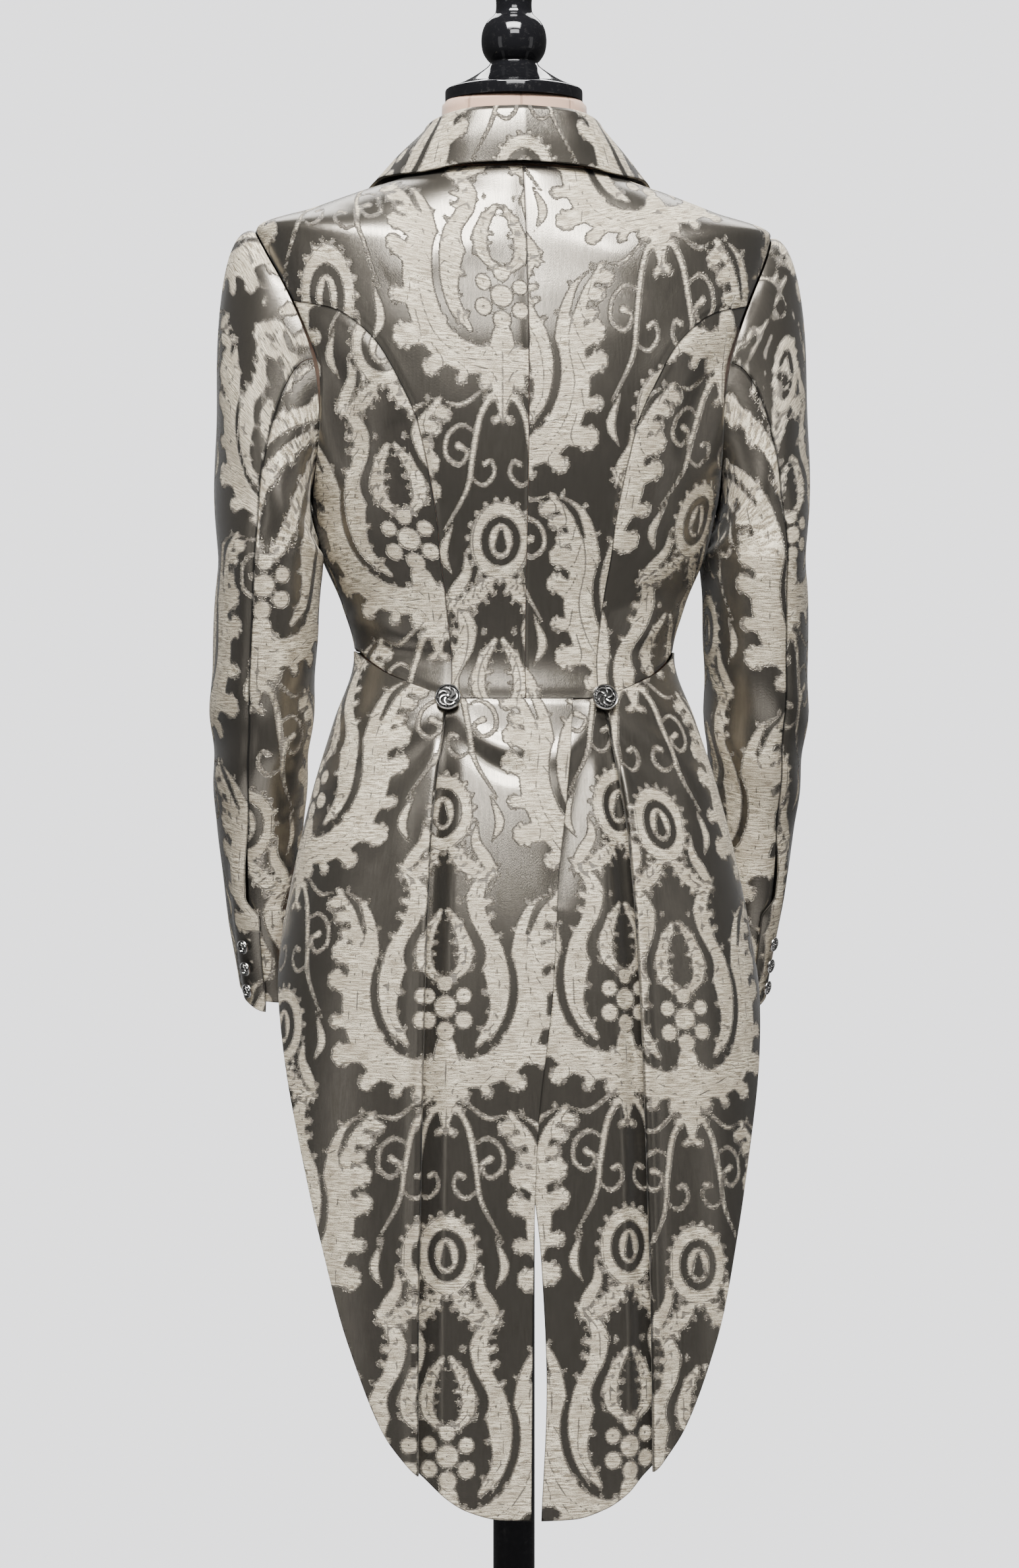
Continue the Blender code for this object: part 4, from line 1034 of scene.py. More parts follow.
def stamp(field, start, end):
    """Lowers the field to the distance from a tapered stroke between two dots."""
    reach = max(start[2], end[2]) + RASTER_REACH
    low = np.minimum(start[:2], end[:2]) - reach
    high = np.maximum(start[:2], end[:2]) + reach
    left, bottom = np.maximum(np.floor(low / RASTER_STEP), 0).astype(int)
    right = min(int(high[0] / RASTER_STEP) + 1, field.shape[1])
    top = min(int(high[1] / RASTER_STEP) + 1, field.shape[0])
    if right <= left or top <= bottom:
        return
    x = np.arange(left, right)[None, :] * RASTER_STEP - start[0]
    y = np.arange(bottom, top)[:, None] * RASTER_STEP - start[1]
    over, up = end[0] - start[0], end[1] - start[1]
    share = np.clip((x * over + y * up) / max(over * over + up * up, LEAST_SQUARE), 0, 1)
    away = np.hypot(x - share * over, y - share * up) - start[2] - share * (end[2] - start[2])
    window = field[bottom:top, left:right]
    np.minimum(window, away, out=window)


def stamp_copies(field, dots):
    """Stamps a run of dots and its mirrored, repeated and half-dropped copies."""
    dots = np.asarray(dots, float)
    for drop in (0, 1):
        x = REPEAT_WIDE / 2 - dots[:, 0] if drop else dots[:, 0]
        y = dots[:, 1] + drop * REPEAT_HIGH / 2
        for mirrored in (x, -x, REPEAT_WIDE - x):
            if mirrored.max() < -COPY_MARGIN or mirrored.min() > REPEAT_WIDE / 2 + COPY_MARGIN:
                continue
            for shift in (-1, 0, 1):
                moved = np.stack([mirrored, y + shift * REPEAT_HIGH, dots[:, 2]], 1)
                for start, end in zip(moved, moved[1:]):
                    stamp(field, start, end)


def circle(dot, radius, count=18, high=1.0):
    turn = np.linspace(0, 2 * math.pi, count)
    return np.stack([dot.x + radius * np.cos(turn), dot.y + high * radius * np.sin(turn), 0 * turn], 1)


def damask_fields():
    """Distance to the woven ornament, and to the thin lines inside it, over half a repeat."""
    shape = (int(REPEAT_HIGH / RASTER_STEP) + 1, int(REPEAT_WIDE / 2 / RASTER_STEP) + 1)
    ornament, lines, cuts = (np.full(shape, RASTER_REACH) for _ in range(3))
    for stem in STEMS + COMMAS:
        stamp_copies(ornament, bend(stem, STROKE_STEPS))
    for plume in PLUMES:
        solid, thin = plume_parts(plume)
        for stroke in solid:
            stamp_copies(ornament, stroke)
        for stroke in thin:
            stamp_copies(lines, stroke)
    for berry in BERRIES:
        stamp_copies(ornament, [berry, berry])
        stamp_copies(lines, circle(berry, berry.r * BERRY_LINE_SHARE))
        stamp_copies(lines, [(berry.x, berry.y, BERRY_EYE), (berry.x, berry.y + BERRY_EYE, BERRY_EYE)])
    for cut in CUTS:
        stamp_copies(cuts, bend(cut, STROKE_STEPS))
    ring_medallion(ornament, lines, cuts)
    return np.maximum(ornament, -cuts), lines


def ring_oval(radius, thickness=0.0):
    oval = circle(RING_CENTRE, radius, RING_POINTS, RING_HIGH)
    oval[:, 2] = thickness
    return oval


def ring_medallion(ornament, lines, cuts):
    """An oval ring with a scalloped rim, and an oval groove and a drop cut inside it."""
    middle = RING_CENTRE
    stamp_copies(ornament, dot_at((middle.x, middle.y), middle.r * RING_HUB_SHARE))
    stamp_copies(ornament, ring_oval(middle.r, RING_BAND))
    reach = middle.r + RING_BAND + SCALLOP_GAP
    for k in range(RING_SCALLOPS):
        turn = 2 * math.pi * (k + 0.5) / RING_SCALLOPS
        x = middle.x + reach * math.sin(turn)
        y = middle.y + (reach + middle.r * (RING_HIGH - 1)) * math.cos(turn)
        stamp_copies(ornament, dot_at((x, y), SCALLOP_RADIUS))
    stamp_copies(cuts, ring_oval(middle.r * RING_GROOVE_SHARE, RING_GROOVE_RADIUS))
    stamp_copies(cuts, [(dot.x, middle.y + dot.y, dot.r) for dot in RING_DROP])
    stamp_copies(lines, ring_oval(middle.r + RING_LINE_OUT))


ORNAMENT, ORNAMENT_LINES = damask_fields()


def woven_at(field, across, along):
    """A damask field at fabric coordinates in metres."""
    x = np.abs((across * 1000 + REPEAT_WIDE / 2) % REPEAT_WIDE - REPEAT_WIDE / 2) / RASTER_STEP
    y = (along * 1000) % REPEAT_HIGH / RASTER_STEP
    return between_cells(field, x, y)


def arc_table():
    """Distance run round each ring from the centre back, on a grid of angles and levels."""
    angle, level = np.meshgrid(ARC_ANGLES, ARC_LEVELS)
    step = np.linalg.norm(np.diff(ring_point(angle, level), axis=1), axis=2)
    run = np.concatenate([np.zeros((len(ARC_LEVELS), 1)), np.cumsum(step, axis=1)], axis=1)
    return run - run[:, [np.argmin(np.abs(ARC_ANGLES))]]


ARC_ANGLES = np.arange(-60.0, 226.0, 1.0)
ARC_LEVEL_STEP = 0.005
ARC_LEVELS = np.arange(0.440, 1.526, ARC_LEVEL_STEP)
ARC_RUN = arc_table()
TABLE_EDGE = 1.001


def round_body(angle, level):
    """Distance round the body from the centre back to an angle, at a level."""
    x = np.clip(angle - ARC_ANGLES[0], 0, len(ARC_ANGLES) - TABLE_EDGE)
    y = np.clip((level - ARC_LEVELS[0]) / ARC_LEVEL_STEP, 0, len(ARC_LEVELS) - TABLE_EDGE)
    return between_cells(ARC_RUN, x, y)


def up_body(angle, level):
    """Distance up the body at one angle, from the hem's level."""
    points = ring_point(np.full(len(ARC_LEVELS), float(angle)), ARC_LEVELS)
    return np.interp(level, ARC_LEVELS, run_along(points))


def fabric(angle, level, grain):
    """Fabric coordinates of body points: across from the grain angle, and along it."""
    across = round_body(angle, level) - round_body(np.full_like(level, grain), level)
    return np.stack([across, up_body(grain, level)], -1)


def cells(length, step):
    return max(3, int(round(length / step)))


def crease_out(points):
    """How far the cloth stands out at these points because of the back's creases."""
    out = np.zeros(points.shape[:-1])
    share = np.linspace(0, 1, CREASE_LEGS + 1)[:, None]
    x, z = points[..., 0], points[..., 2]
    for row in BACK_CREASES:
        start, middle, end = (np.array(pair) for pair in (row.start, row.middle, row.end))
        line = (1 - share) ** 2 * start + 2 * share * (1 - share) * middle + share**2 * end
        reach = CREASE_REACH * row.width
        low, high = line.min(0) - reach, line.max(0) + reach
        near = (x > low[0]) & (x < high[0]) & (z > low[1]) & (z < high[1])
        if not near.any():
            continue
        near_x, near_z = x[near], z[near]
        best, place = np.full(near_x.shape, np.inf), np.zeros(near_x.shape)
        for k in range(CREASE_LEGS):
            run = line[k + 1] - line[k]
            over, up = near_x - line[k, 0], near_z - line[k, 1]
            t = np.clip((over * run[0] + up * run[1]) / (run @ run), 0, 1)
            away = np.hypot(over - t * run[0], up - t * run[1])
            closer = away < best
            best = np.where(closer, away, best)
            place = np.where(closer, (k + t) / CREASE_LEGS, place)
        along = np.clip(CREASE_START + (1 - CREASE_START) * place, 0, 1)
        fade = np.sin(np.pi * along) ** CREASE_FADE
        out[near] += row.height * fade * np.exp(-((best / row.width) ** 2))
    return out


def back_creases(surface, side):
    """The creases' lift on a panel, which ends where the body turns to the front."""
    return crease_out(surface * [side, 1, 1]) * ramp(surface[..., 1], *CREASE_SIDE_EASE)


def edge_dip(rows, columns, sides, step):
    """A dip along the named edges of a panel, where its seam pulls the cloth in."""
    down = np.arange(rows)[:, None] * step
    over = np.arange(columns)[None, :] * step
    away = {"bottom": down, "top": down[::-1], "left": over, "right": over[:, ::-1]}
    dip = np.zeros((rows, columns))
    for name in sides.split():
        dip = np.maximum(dip, np.exp(-((away[name] / SEAM_DIP_REACH) ** 2)))
    return -SEAM_DIP * dip


def evened(mesh, count):
    """Turns the edges of the first count faces round, so that slanted rows get even triangles."""
    work = bmesh.new()
    work.from_mesh(mesh)
    work.faces.ensure_lookup_table()
    pieces = bmesh.ops.triangulate(work, faces=work.faces[:count])["faces"]
    members = set(pieces)
    edges = {edge for face in pieces for edge in face.edges}
    inside = [edge for edge in edges if members.issuperset(edge.link_faces)]
    bmesh.ops.beautify_fill(work, faces=pieces, edges=inside, method="AREA")
    work.to_mesh(mesh)
    work.free()


def quad_mesh(name, points, faces):
    """A mesh of quads, each turned so that it is drawn as two triangles along its short diagonal."""
    corners = points[faces]
    first = np.linalg.norm(corners[:, 0] - corners[:, 2], axis=1)
    second = np.linalg.norm(corners[:, 1] - corners[:, 3], axis=1)
    slanted = first > second
    faces[slanted] = np.roll(faces[slanted], 1, axis=1)
    mesh = bpy.data.meshes.new(name)
    mesh.vertices.add(len(points))
    mesh.vertices.foreach_set("co", points.astype(np.float32).ravel())
    mesh.loops.add(faces.size)
    mesh.loops.foreach_set("vertex_index", faces.astype(np.int32).ravel())
    mesh.polygons.add(len(faces))
    mesh.polygons.foreach_set("loop_start", (np.arange(len(faces)) * 4).astype(np.int32))
    mesh.update(calc_edges=True)
    mesh.validate()
    return mesh


def shell(name, outer, inner, side, flat, finish, slanting=False, shade=1.0):
    """A closed cloth wall between two grids of points, with its fabric coordinates.

    The grids run anticlockwise when seen from outside. side -1 mirrors them for the wearer's right.
    slanting evens the triangles of rows that lean. shade puts painted shadow on columns, as along a seam.
    """
    rows, columns = outer.shape[:2]
    count = rows * columns
    points = np.concatenate([outer.reshape(-1, 3), inner.reshape(-1, 3)]) * [side, 1.0, 1.0]
    index = np.arange(count).reshape(rows, columns)
    front = np.stack([index[:-1, :-1], index[:-1, 1:], index[1:, 1:], index[1:, :-1]], -1).reshape(-1, 4)
    back = front[:, ::-1] + count
    rim = np.concatenate([index[0, :-1], index[:-1, -1], index[-1, :0:-1], index[:0:-1, 0]])
    after = np.roll(rim, -1)
    edge = np.stack([rim, rim + count, after + count, after], -1)
    faces = np.concatenate([front, back, edge])
    if side < 0:
        faces = faces[:, ::-1].copy()
    mesh = quad_mesh(name, points, faces)
    if slanting:
        evened(mesh, len(front))
    across, along = flat[..., 0].ravel(), flat[..., 1].ravel()
    reverse = np.full(count, RASTER_REACH)
    for key, field in (("ornament", ORNAMENT), ("lines", ORNAMENT_LINES)):
        attribute(mesh, key, np.concatenate([woven_at(field, across, along), reverse]))
    cloth_place = np.tile(np.stack([across, along, 0 * along], 1), (2, 1))
    attribute(mesh, "cloth", cloth_place, "FLOAT_VECTOR", "vector")
    # Painted shadow along every edge of the outer face and on the shaded columns: 0 there, 1 elsewhere.
    out_of_painted_shadow = np.ones((2, rows, columns))
    out_of_painted_shadow[0, [0, -1]] = 0
    out_of_painted_shadow[0, :, [0, -1]] = 0
    out_of_painted_shadow[0] *= shade
    attribute(mesh, "out_of_painted_shadow", out_of_painted_shadow.ravel())
    obj = placed(name, mesh, finish)
    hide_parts(name)


def attribute(mesh, name, values, kind="FLOAT", field="value"):
    made = mesh.attributes.new(name, kind, "POINT")
    made.data.foreach_set(field, np.asarray(values, np.float32).ravel())


def placed(name, mesh, finish, smooth_angle=40):
    obj = bpy.data.objects.new(name + "_dressed", mesh)
    obj.data.materials.append(finish)
    bpy.context.scene.collection.objects.link(obj)
    mesh.shade_smooth()
    mesh.set_sharp_from_angle(angle=math.radians(smooth_angle))
    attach(obj, "root")
    return obj


def body_panel(name, grid, side, finish, lift=0.0, sides="left right bottom top", grain=0.0, start=(0, 0)):
    """A panel on a grid of angles and levels. start shifts the damask across and along."""
    angle, level = grid
    surface = ring_point(angle, level)
    normal = normal_at(angle, level)
    step = np.linalg.norm(surface[0, 0] - surface[0, -1]) / angle.shape[1]
    dip = edge_dip(*angle.shape, sides, max(step, LEAST_STEP))
    out = lift + back_creases(surface, side) + dip
    outer = trimmed(surface + normal * out[..., None], sides)
    inner = trimmed(surface + normal * (out - WALL)[..., None], sides)
    turn = slice(None, None, -1)
    shown = fabric(angle, level, grain) * [side, 1.0] + np.array(start)
    shell(name + "_" + side_name(side), outer[:, turn], inner[:, turn], side, shown[:, turn], finish)


def patch_panel(name, side, finish, edges, across, up, hold=1, **more):
    grid = patch(*edges, across=across, up=up, hold=hold)
    body_panel(name, np.moveaxis(grid, -1, 0), side, finish, **more)


def backs(side, finish):
    princess = seam_to_waist(PRINCESS_TURN, PRINCESS)
    above = armhole_line(PRINCESS_TURN, 0)
    shoulder = straight((90.0, SHOULDER_LEVEL), (90.0, NECK_SEAM))
    neck = straight((0.0, NECK_SEAM), (90.0, NECK_SEAM))
    edges = (
        waist_line(0, princess[0, 0]),
        joined(neck, shoulder[::-1]),
        straight((0.0, WAIST_HEIGHT), (0.0, NECK_SEAM)),
        joined(princess, above),
    )
    princess_cells = cells(run_of(princess), CELL)
    across = by_parts((neck, NECK_CELLS), (shoulder, SHOULDER_CELLS))
    up = by_parts((princess, princess_cells), (above, cells(run_of(above), CELL)))
    patch_panel("back", side, finish, edges, across, up, TOP_HOLD, start=BACK_DAMASK[side])
    edges = (
        waist_line(princess[0, 0], SIDE_SEAM_FOOT),
        armhole_line(PRINCESS_TURN, 180),
        princess,
        straight((SIDE_SEAM_FOOT, waist_level(SIDE_SEAM_FOOT)), tuple(armhole(180.0))),
    )
    across, up = shares(SIDE_BACK_CELLS), shares(princess_cells)
    cut = {"grain": SIDE_BACK_GRAIN, "start": SIDE_BACK_DAMASK[side]}
    patch_panel("side_back", side, finish, edges, across, up, **cut)


def fronts(side, finish):
    princess = seam_to_waist(FRONT_PRINCESS_TURN, FRONT_PRINCESS, front=True)
    above = armhole_line(FRONT_PRINCESS_TURN, 360)
    roll = roll_line()
    foot = 180 + math.degrees(FRONT_LAP / WAIST_FRONT_RADIUS)
    edges = (
        waist_line(SIDE_SEAM_FOOT, princess[0, 0]),
        armhole_line(180, FRONT_PRINCESS_TURN),
        straight((SIDE_SEAM_FOOT, waist_level(SIDE_SEAM_FOOT)), tuple(armhole(180.0))),
        princess,
    )
    princess_cells = cells(run_of(princess), FRONT_CELL)
    across, up = shares(SIDE_FRONT_CELLS), shares(princess_cells)
    cut = {"grain": SIDE_FRONT_GRAIN, "start": SIDE_FRONT_DAMASK}
    patch_panel("side_front", side, finish, edges, across, up, **cut)
    edges = (
        waist_line(princess[0, 0], foot),
        straight((90.0, SHOULDER_LEVEL), (90.0, NECK_SEAM)),
        joined(princess, above),
        joined(straight((foot, waist_level(foot)), tuple(roll[0])), roll),
    )
    up = by_parts((princess, princess_cells), (above, cells(run_of(above), FRONT_CELL)))
    grid = np.moveaxis(patch(*edges, across=shares(FRONT_CELLS, FRONT_CROWD), up=up), -1, 0)
    lift = front_out(ring_point(*grid), side)
    body_panel("front", grid, side, finish, lift, grain=FRONT_GRAIN, start=FRONT_DAMASK)


def lapels(side, finish):
    roll = roll_line()
    gorge = locate(GORGE, front=True)
    top = np.argmin(np.abs(roll[:, 1] - gorge[0, 1]) + np.abs(roll[:, 0] - gorge[0, 0]) / ANGLE_WEIGHT)
    first = np.argmax(ring_point(roll[:, 0], roll[:, 1])[:, 0] > LAPEL_START)
    inner = roll[first : top + 1]
    foot = inner[:1] - [[LAPEL_FOOT_TURN, 0.0]]
    outer = flowing(np.concatenate([foot, locate(LAPEL_OUTER, front=True)]))
    ends = straight(inner[0], outer[0]), straight(inner[-1], outer[-1])
    grid = patch(*ends, inner, outer, shares(LAPEL_CELLS), shares(LAPEL_ROWS))
    angle, level = grid[..., 0], grid[..., 1]
    surface, normal = ring_point(angle, level), normal_at(angle, level)
    over = np.linspace(0, 1, LAPEL_CELLS + 1)
    flat_out = front_out(surface, side) + LAPEL_LIFT + LAPEL_SPRING * over**2
    out = flat_out + LAPEL_BELLY * np.sin(np.pi * over)
    flat = fabric(angle, level, LAPEL_GRAIN) + LAPEL_DAMASK
    outer_face = surface + normal * out[..., None]
    inner_face = surface + normal * (flat_out - WALL)[..., None]
    name = "lapel_" + side_name(side)
    shell(name, outer_face[:, ::-1], inner_face[:, ::-1], side, flat[:, ::-1], finish)


def collar(finish):
    """A stand that rises from the neck seam, rolls over and falls to the outer edge."""
    fold = curves(COLLAR)
    share = np.linspace(0, 1, COLLAR_COLUMNS)
    centre = COLLAR_COLUMNS - 1
    seam = seam_round_neck(share)
    foot = on_body(seam[:, 0], seam[:, 1], MIDDLE)
    foot += unit(np.cross(np.gradient(foot, axis=0), normal_at(seam[:, 0], seam[:, 1]))) * COLLAR_GAP
    roll = np.stack([fold[name](share) for name in ("roll_x", "roll_y", "roll_z")], -1)
    edge = np.stack([fold[name](share) for name in ("edge_x", "edge_y", "edge_z")], -1)
    edge -= np.array([0.0, COLLAR_HUG, COLLAR_DROP]) * (1 - ramp(share, *COLLAR_HUG_EASE))[:, None]
    outward = unit((edge - foot) * [1, 1, 0])
    over = [roll + outward * row.out + UP * row.up for row in ROLL_OVER]
    middle = (over[-1] + edge) / 2 + outward * FALL_BELLY.out + UP * FALL_BELLY.up
    half = through([foot, (foot + over[0]) / 2, *over, middle, edge], COLLAR_ROWS)
    half[:, 0, 0] = 0.0
    grid = np.concatenate([half[:, :0:-1] * [-1.0, 1.0, 1.0], half], axis=1)
    normal = unit(np.cross(np.gradient(grid, axis=1), np.gradient(grid, axis=0)))
    normal *= np.sign(normal[COLLAR_FALL_ROW, centre, 1])
    run, wide = run_along(grid[:, centre]), run_along(grid[-1])
    wide -= wide[len(wide) // 2]
    flat = np.stack(np.broadcast_arrays(wide[None, :], -run[:, None]), -1) + [0.0, COLLAR_DAMASK]
    thick = normal * COLLAR_WALL / 2
    shell("collar", grid + thick, grid - thick, 1, flat, finish)


def tail_grid(edge):
    """Angle, level and distance across of a centre tail, from its vent edge to under the pleat."""
    vent = across_at(edge)
    columns = np.linspace(0, 1, CENTRE_TAIL_COLUMNS)
    up = shares(CENTRE_TAIL_ROWS, TAIL_CROWD)[:, None] * np.ones(CENTRE_TAIL_COLUMNS)
    level = HEM[0].level + (WAIST_HEIGHT - HEM[0].level) * up
    for _ in range(CENTRE_TAIL_ROUNDS):
        left, right = vent(level), pleat_across(level) + PLEAT_UNDERLAP
        across = left + (right - left) * columns
        angle = angle_of(across, level)
        low, high = hem_level(np.abs(angle)), waist_level(np.abs(angle))
        level = low + (high - low) * up
    return angle, level, across


def tail_ripple(points):
    """The tails' soft up and down waves, deeper towards the hem, not alike on the two sides."""
    x, z = points[..., 0], points[..., 2]
    wave = sum(row.size * np.sin(x * row.across + row.start + row.up * z) for row in TAIL_WAVES)
    return TAIL_RIPPLE * (1 - ramp(z, *TAIL_RIPPLE_EASE)) * wave


def centre_tail(side, finish):
    angle, level, across = tail_grid(VENT_OUTER if side > 0 else VENT_INNER)
    under_pleat = ramp(across - pleat_across(level), *UNDER_PLEAT_EASE)
    under_pleat = under_pleat * ramp(WAIST_HEIGHT - level, *PLEAT_DIP_EASE)
    vent = side * VENT_LIFT * (1 - ramp(across, *VENT_EASE[side])) * ramp(level, *OVERLAP_EASE)
    ripple = tail_ripple(ring_point(angle, level) * [side, 1, 1])
    lift = vent - PLEAT_DIP * under_pleat + ripple * (1 - PLEAT_CALM * under_pleat)
    grid = angle, level
    body_panel("tail_centre", grid, side, finish, lift, "top", start=CENTRE_TAIL_DAMASK[side])


def side_tail(side, finish):
    """The side tail: folded back under itself at the pleat, cut away to the front corner."""
    fold = through(PLEAT_FOLD, PLEAT_COLUMNS)
    last = len(fold)
    body = np.linspace(*PLEAT_BESIDE, BESIDE_COLUMNS)[1:]
    spread = np.linspace(0, 1, SPREAD_COLUMNS)[1:] ** SPREAD_CURVE
    near = np.concatenate([fold[:, 0], body])
    columns = len(near) + len(spread)
    up = shares(SIDE_TAIL_ROWS, TAIL_CROWD)[:, None]
    level = np.repeat(SIDE_HEM_START + (WAIST_HEIGHT - SIDE_HEM_START) * up, columns, axis=1)
    for _ in range(SIDE_TAIL_ROUNDS):
        pleat = pleat_across(level)
        first = angle_of(pleat[:, : len(near)] + near, level[:, : len(near)])
        start = angle_of(pleat[:, len(near) :] + body[-1], level[:, len(near) :])
        angle = np.concatenate([first, start + (FRONT_CORNER - start) * spread], axis=1)
        low, high = hem_level(angle), waist_level(angle)
        level = low + (high - low) * up
    surface, normal = ring_point(angle, level), normal_at(angle, level)
    lift = PLEAT_LIFT * (1 - ramp(np.arange(columns), last, columns * PLEAT_LIFT_SHARE))
    from_fold = np.concatenate([np.zeros(last), body, body[-1] + spread * SPREAD_RUN])
    roll = PLEAT_ROLL * np.exp(-((from_fold / PLEAT_ROLL_REACH) ** 2))
    roll = roll * ramp(WAIST_HEIGHT - level, *PLEAT_ROLL_EASE)
    middle = MIDDLE + lift + roll + back_creases(surface, side)
    middle = middle + tail_ripple(surface * [side, 1, 1]) + side_ripple(angle, level)
    at_fold = middle[:, last : last + 1] - PLEAT_FOLD[-1].out
    rise = (fold[:, 1] - PLEAT_FOLD[0].out) / (PLEAT_FOLD[-1].out - PLEAT_FOLD[0].out)
    middle[:, :last] = fold[:, 1] + at_fold * np.clip(rise, 0, 1)
    mid = surface + normal * middle[..., None]
    facing = -unit(np.cross(np.gradient(mid, axis=1), np.gradient(mid, axis=0)))
    facing[:, last:] *= np.sign((facing[:, last:] * normal[:, last:]).sum(2).mean())
    facing[:, :last] *= np.sign((facing[:, last - 1] * normal[:, last - 1]).sum(1).mean())
    outer = trimmed(mid + facing * WALL / 2, "top")
    inner = trimmed(mid - facing * WALL / 2, "top")
    flat = fabric(angle, level, SIDE_TAIL_GRAIN)
    flat[:, :last, 0] = flat[:, last : last + 1, 0] - np.linspace(PLEAT_UNDERLAP, 0, last, endpoint=False)
    shown = flat * [side, 1.0] + SIDE_TAIL_DAMASK[side]
    # Painted shadow along the pleat's folded edge and on the columns turned under it.
    edge = np.clip(near / PLEAT_SHADOW_REACH, 0, 1)
    edge[: np.argmin(fold[:, 0])] = 0
    shade = np.concatenate([edge, np.ones(len(spread))])[::-1]
    turned = outer[:, ::-1], inner[:, ::-1], side, shown[:, ::-1]
    shell("tail_side_" + side_name(side), *turned, finish, slanting=True, shade=shade)


def side_ripple(angle, level):
    """The cutaway front edge's soft roll outwards."""
    below = ramp(waist_level(angle) - level, *SIDE_RIPPLE_DROP)
    return SIDE_RIPPLE * ramp(angle, *SIDE_RIPPLE_EASE) * below * np.sin(np.radians(angle * 5) + 9 * level)


def sleeve_piece(name, side, seams, columns, out, finish, damask, tip=0.0):
    """Part of the sleeve between two seams, each a turn for every row of down."""
    cap, arm = np.linspace(0, CAP_SHARE, CAP_ROWS), np.linspace(CAP_SHARE, 1, ARM_ROWS)
    down = np.concatenate([cap, arm[1:]])
    over = np.linspace(0, 1, columns + 1)
    first, last = (seam(down)[:, None] for seam in seams)
    turn = first + (last - first) * over
    near_tip = ramp(over, *TIP_ACROSS_EASE) * ramp(down, *TIP_DOWN_EASE)[:, None]
    share = down[:, None] + tip * near_tip
    dip = edge_dip(len(down), columns + 1, "left right", CELL)
    lift = out(turn, share) + sleeve_creases(turn, share, side) + dip
    outer, inner = (
        trimmed(sleeve_out(turn, share, lift + half), "left right", SLEEVE_SEAM_GAP)
        for half in (WALL / 2, -WALL / 2)
    )
    mid = sleeve_point(turn, share)
    centre = np.argmin(np.abs(over - 0.5))
    steps = np.linalg.norm(np.diff(mid, axis=1), axis=2)
    across = np.concatenate([np.zeros((len(down), 1)), np.cumsum(steps, axis=1)], axis=1)
    across -= across[:, centre : centre + 1]
    along = -run_along(mid[:, centre])[:, None] - TIP_RUN * tip * near_tip
    flat = np.stack([across, along], -1)
    shell(name, outer[::-1], inner[::-1], side, flat[::-1] * [side, 1.0] + damask, finish)


def sleeve_creases(turn, down, side):
    """Soft drag folds along the arm and gathers at the sleeve's head, turned a little on each side."""
    around, out = np.radians(turn), np.zeros(turn.shape)
    for row in SLEEVE_FOLDS:
        wave = np.sin(around * row.turns + row.slope * down + row.lean * SLEEVE_LEAN * side)
        out += row.height * np.exp(-(((down - row.at) / row.spread) ** 2)) * wave
    head = np.exp(-((down / GATHER_REACH) ** 2)) * (1 - ramp(np.abs(turn), *GATHER_EASE))
    return out + GATHER * head * np.cos(around * GATHERS) * ramp(down, *GATHER_START)


def sleeves(side, finish):
    back_seam, front_seam = SLEEVE_TURN["back_seam"], SLEEVE_TURN["front_seam"]
    lap = math.degrees(VENT_LAP / VENT_LAP_RADIUS)

    def upper_edge(down):
        return back_seam(down) + lap * ramp(down, *VENT_LAP_EASE)

    def upper_out(turn, down):
        near = ramp(turn - back_seam(down), *VENT_RISE_TURN)
        return VENT_RISE * near * ramp(down, *VENT_RISE_EASE)

    def under_out(turn, down):
        return np.zeros(turn.shape)

    def upper_start(down):
        return front_seam(down) - 360

    name = side_name(side)
    upper = (upper_start, upper_edge), UPPER_COLUMNS, upper_out, finish, SLEEVE_DAMASK[side], VENT_TIP
    under = (back_seam, front_seam), UNDER_COLUMNS, under_out, finish, UNDER_DAMASK[side]
    sleeve_piece("sleeve_upper_" + name, side, *upper)
    sleeve_piece("sleeve_under_" + name, side, *under)


def built(build, name):
    """The mesh of a finished bmesh."""
    mesh = bpy.data.meshes.new(name)
    build.to_mesh(mesh)
    build.free()
    return mesh


def turned_mesh(name, profile, steps):
    """A closed solid of revolution round Z, its profile run down the outer side."""
    build = bmesh.new()
    turn = [2 * math.pi * k / steps for k in range(steps)]
    rings = []
    for radius, height in profile:
        around = [(radius * math.cos(t), radius * math.sin(t), height) for t in turn]
        rings.append([build.verts.new(point) for point in (around if radius > 1e-6 else [(0, 0, height)])])
    for high, low in zip(rings, rings[1:]):
        for k in range(steps):
            after = (k + 1) % steps
            corners = [high[k % len(high)], low[k % len(low)], low[after % len(low)], high[after % len(high)]]
            build.faces.new(list(dict.fromkeys(corners)))
    bmesh.ops.recalc_face_normals(build, faces=build.faces)
    return built(build, name)


def rounded(profile, count):
    """The profile with smooth runs between its points, ends kept."""
    return [(max(radius, 0.0), height) for radius, height in bend(profile, count)]


def join(meshes, name):
    """One mesh from several."""
    build = bmesh.new()
    for mesh in meshes:
        build.from_mesh(mesh)
    return built(build, name)


def tube(name, path, radii):
    """A tapered tube through points."""
    build = bmesh.new()
    turn = np.linspace(0, 2 * math.pi, TUBE_SIDES, endpoint=False)[:, None]
    rings = []
    for place, ahead, radius in zip(path, unit(np.gradient(path, axis=0)), radii):
        side = unit(np.cross(ahead, UP))
        ring = place + radius * (np.cos(turn) * side + np.sin(turn) * np.cross(side, ahead))
        rings.append([build.verts.new(point) for point in ring])
    for low, high in zip(rings, rings[1:]):
        for k in range(TUBE_SIDES):
            after = (k + 1) % TUBE_SIDES
            build.faces.new((low[k], low[after], high[after], high[k]))
    build.faces.new(rings[0][::-1])
    build.faces.new(rings[-1])
    bmesh.ops.recalc_face_normals(build, faces=build.faces)
    return built(build, name)


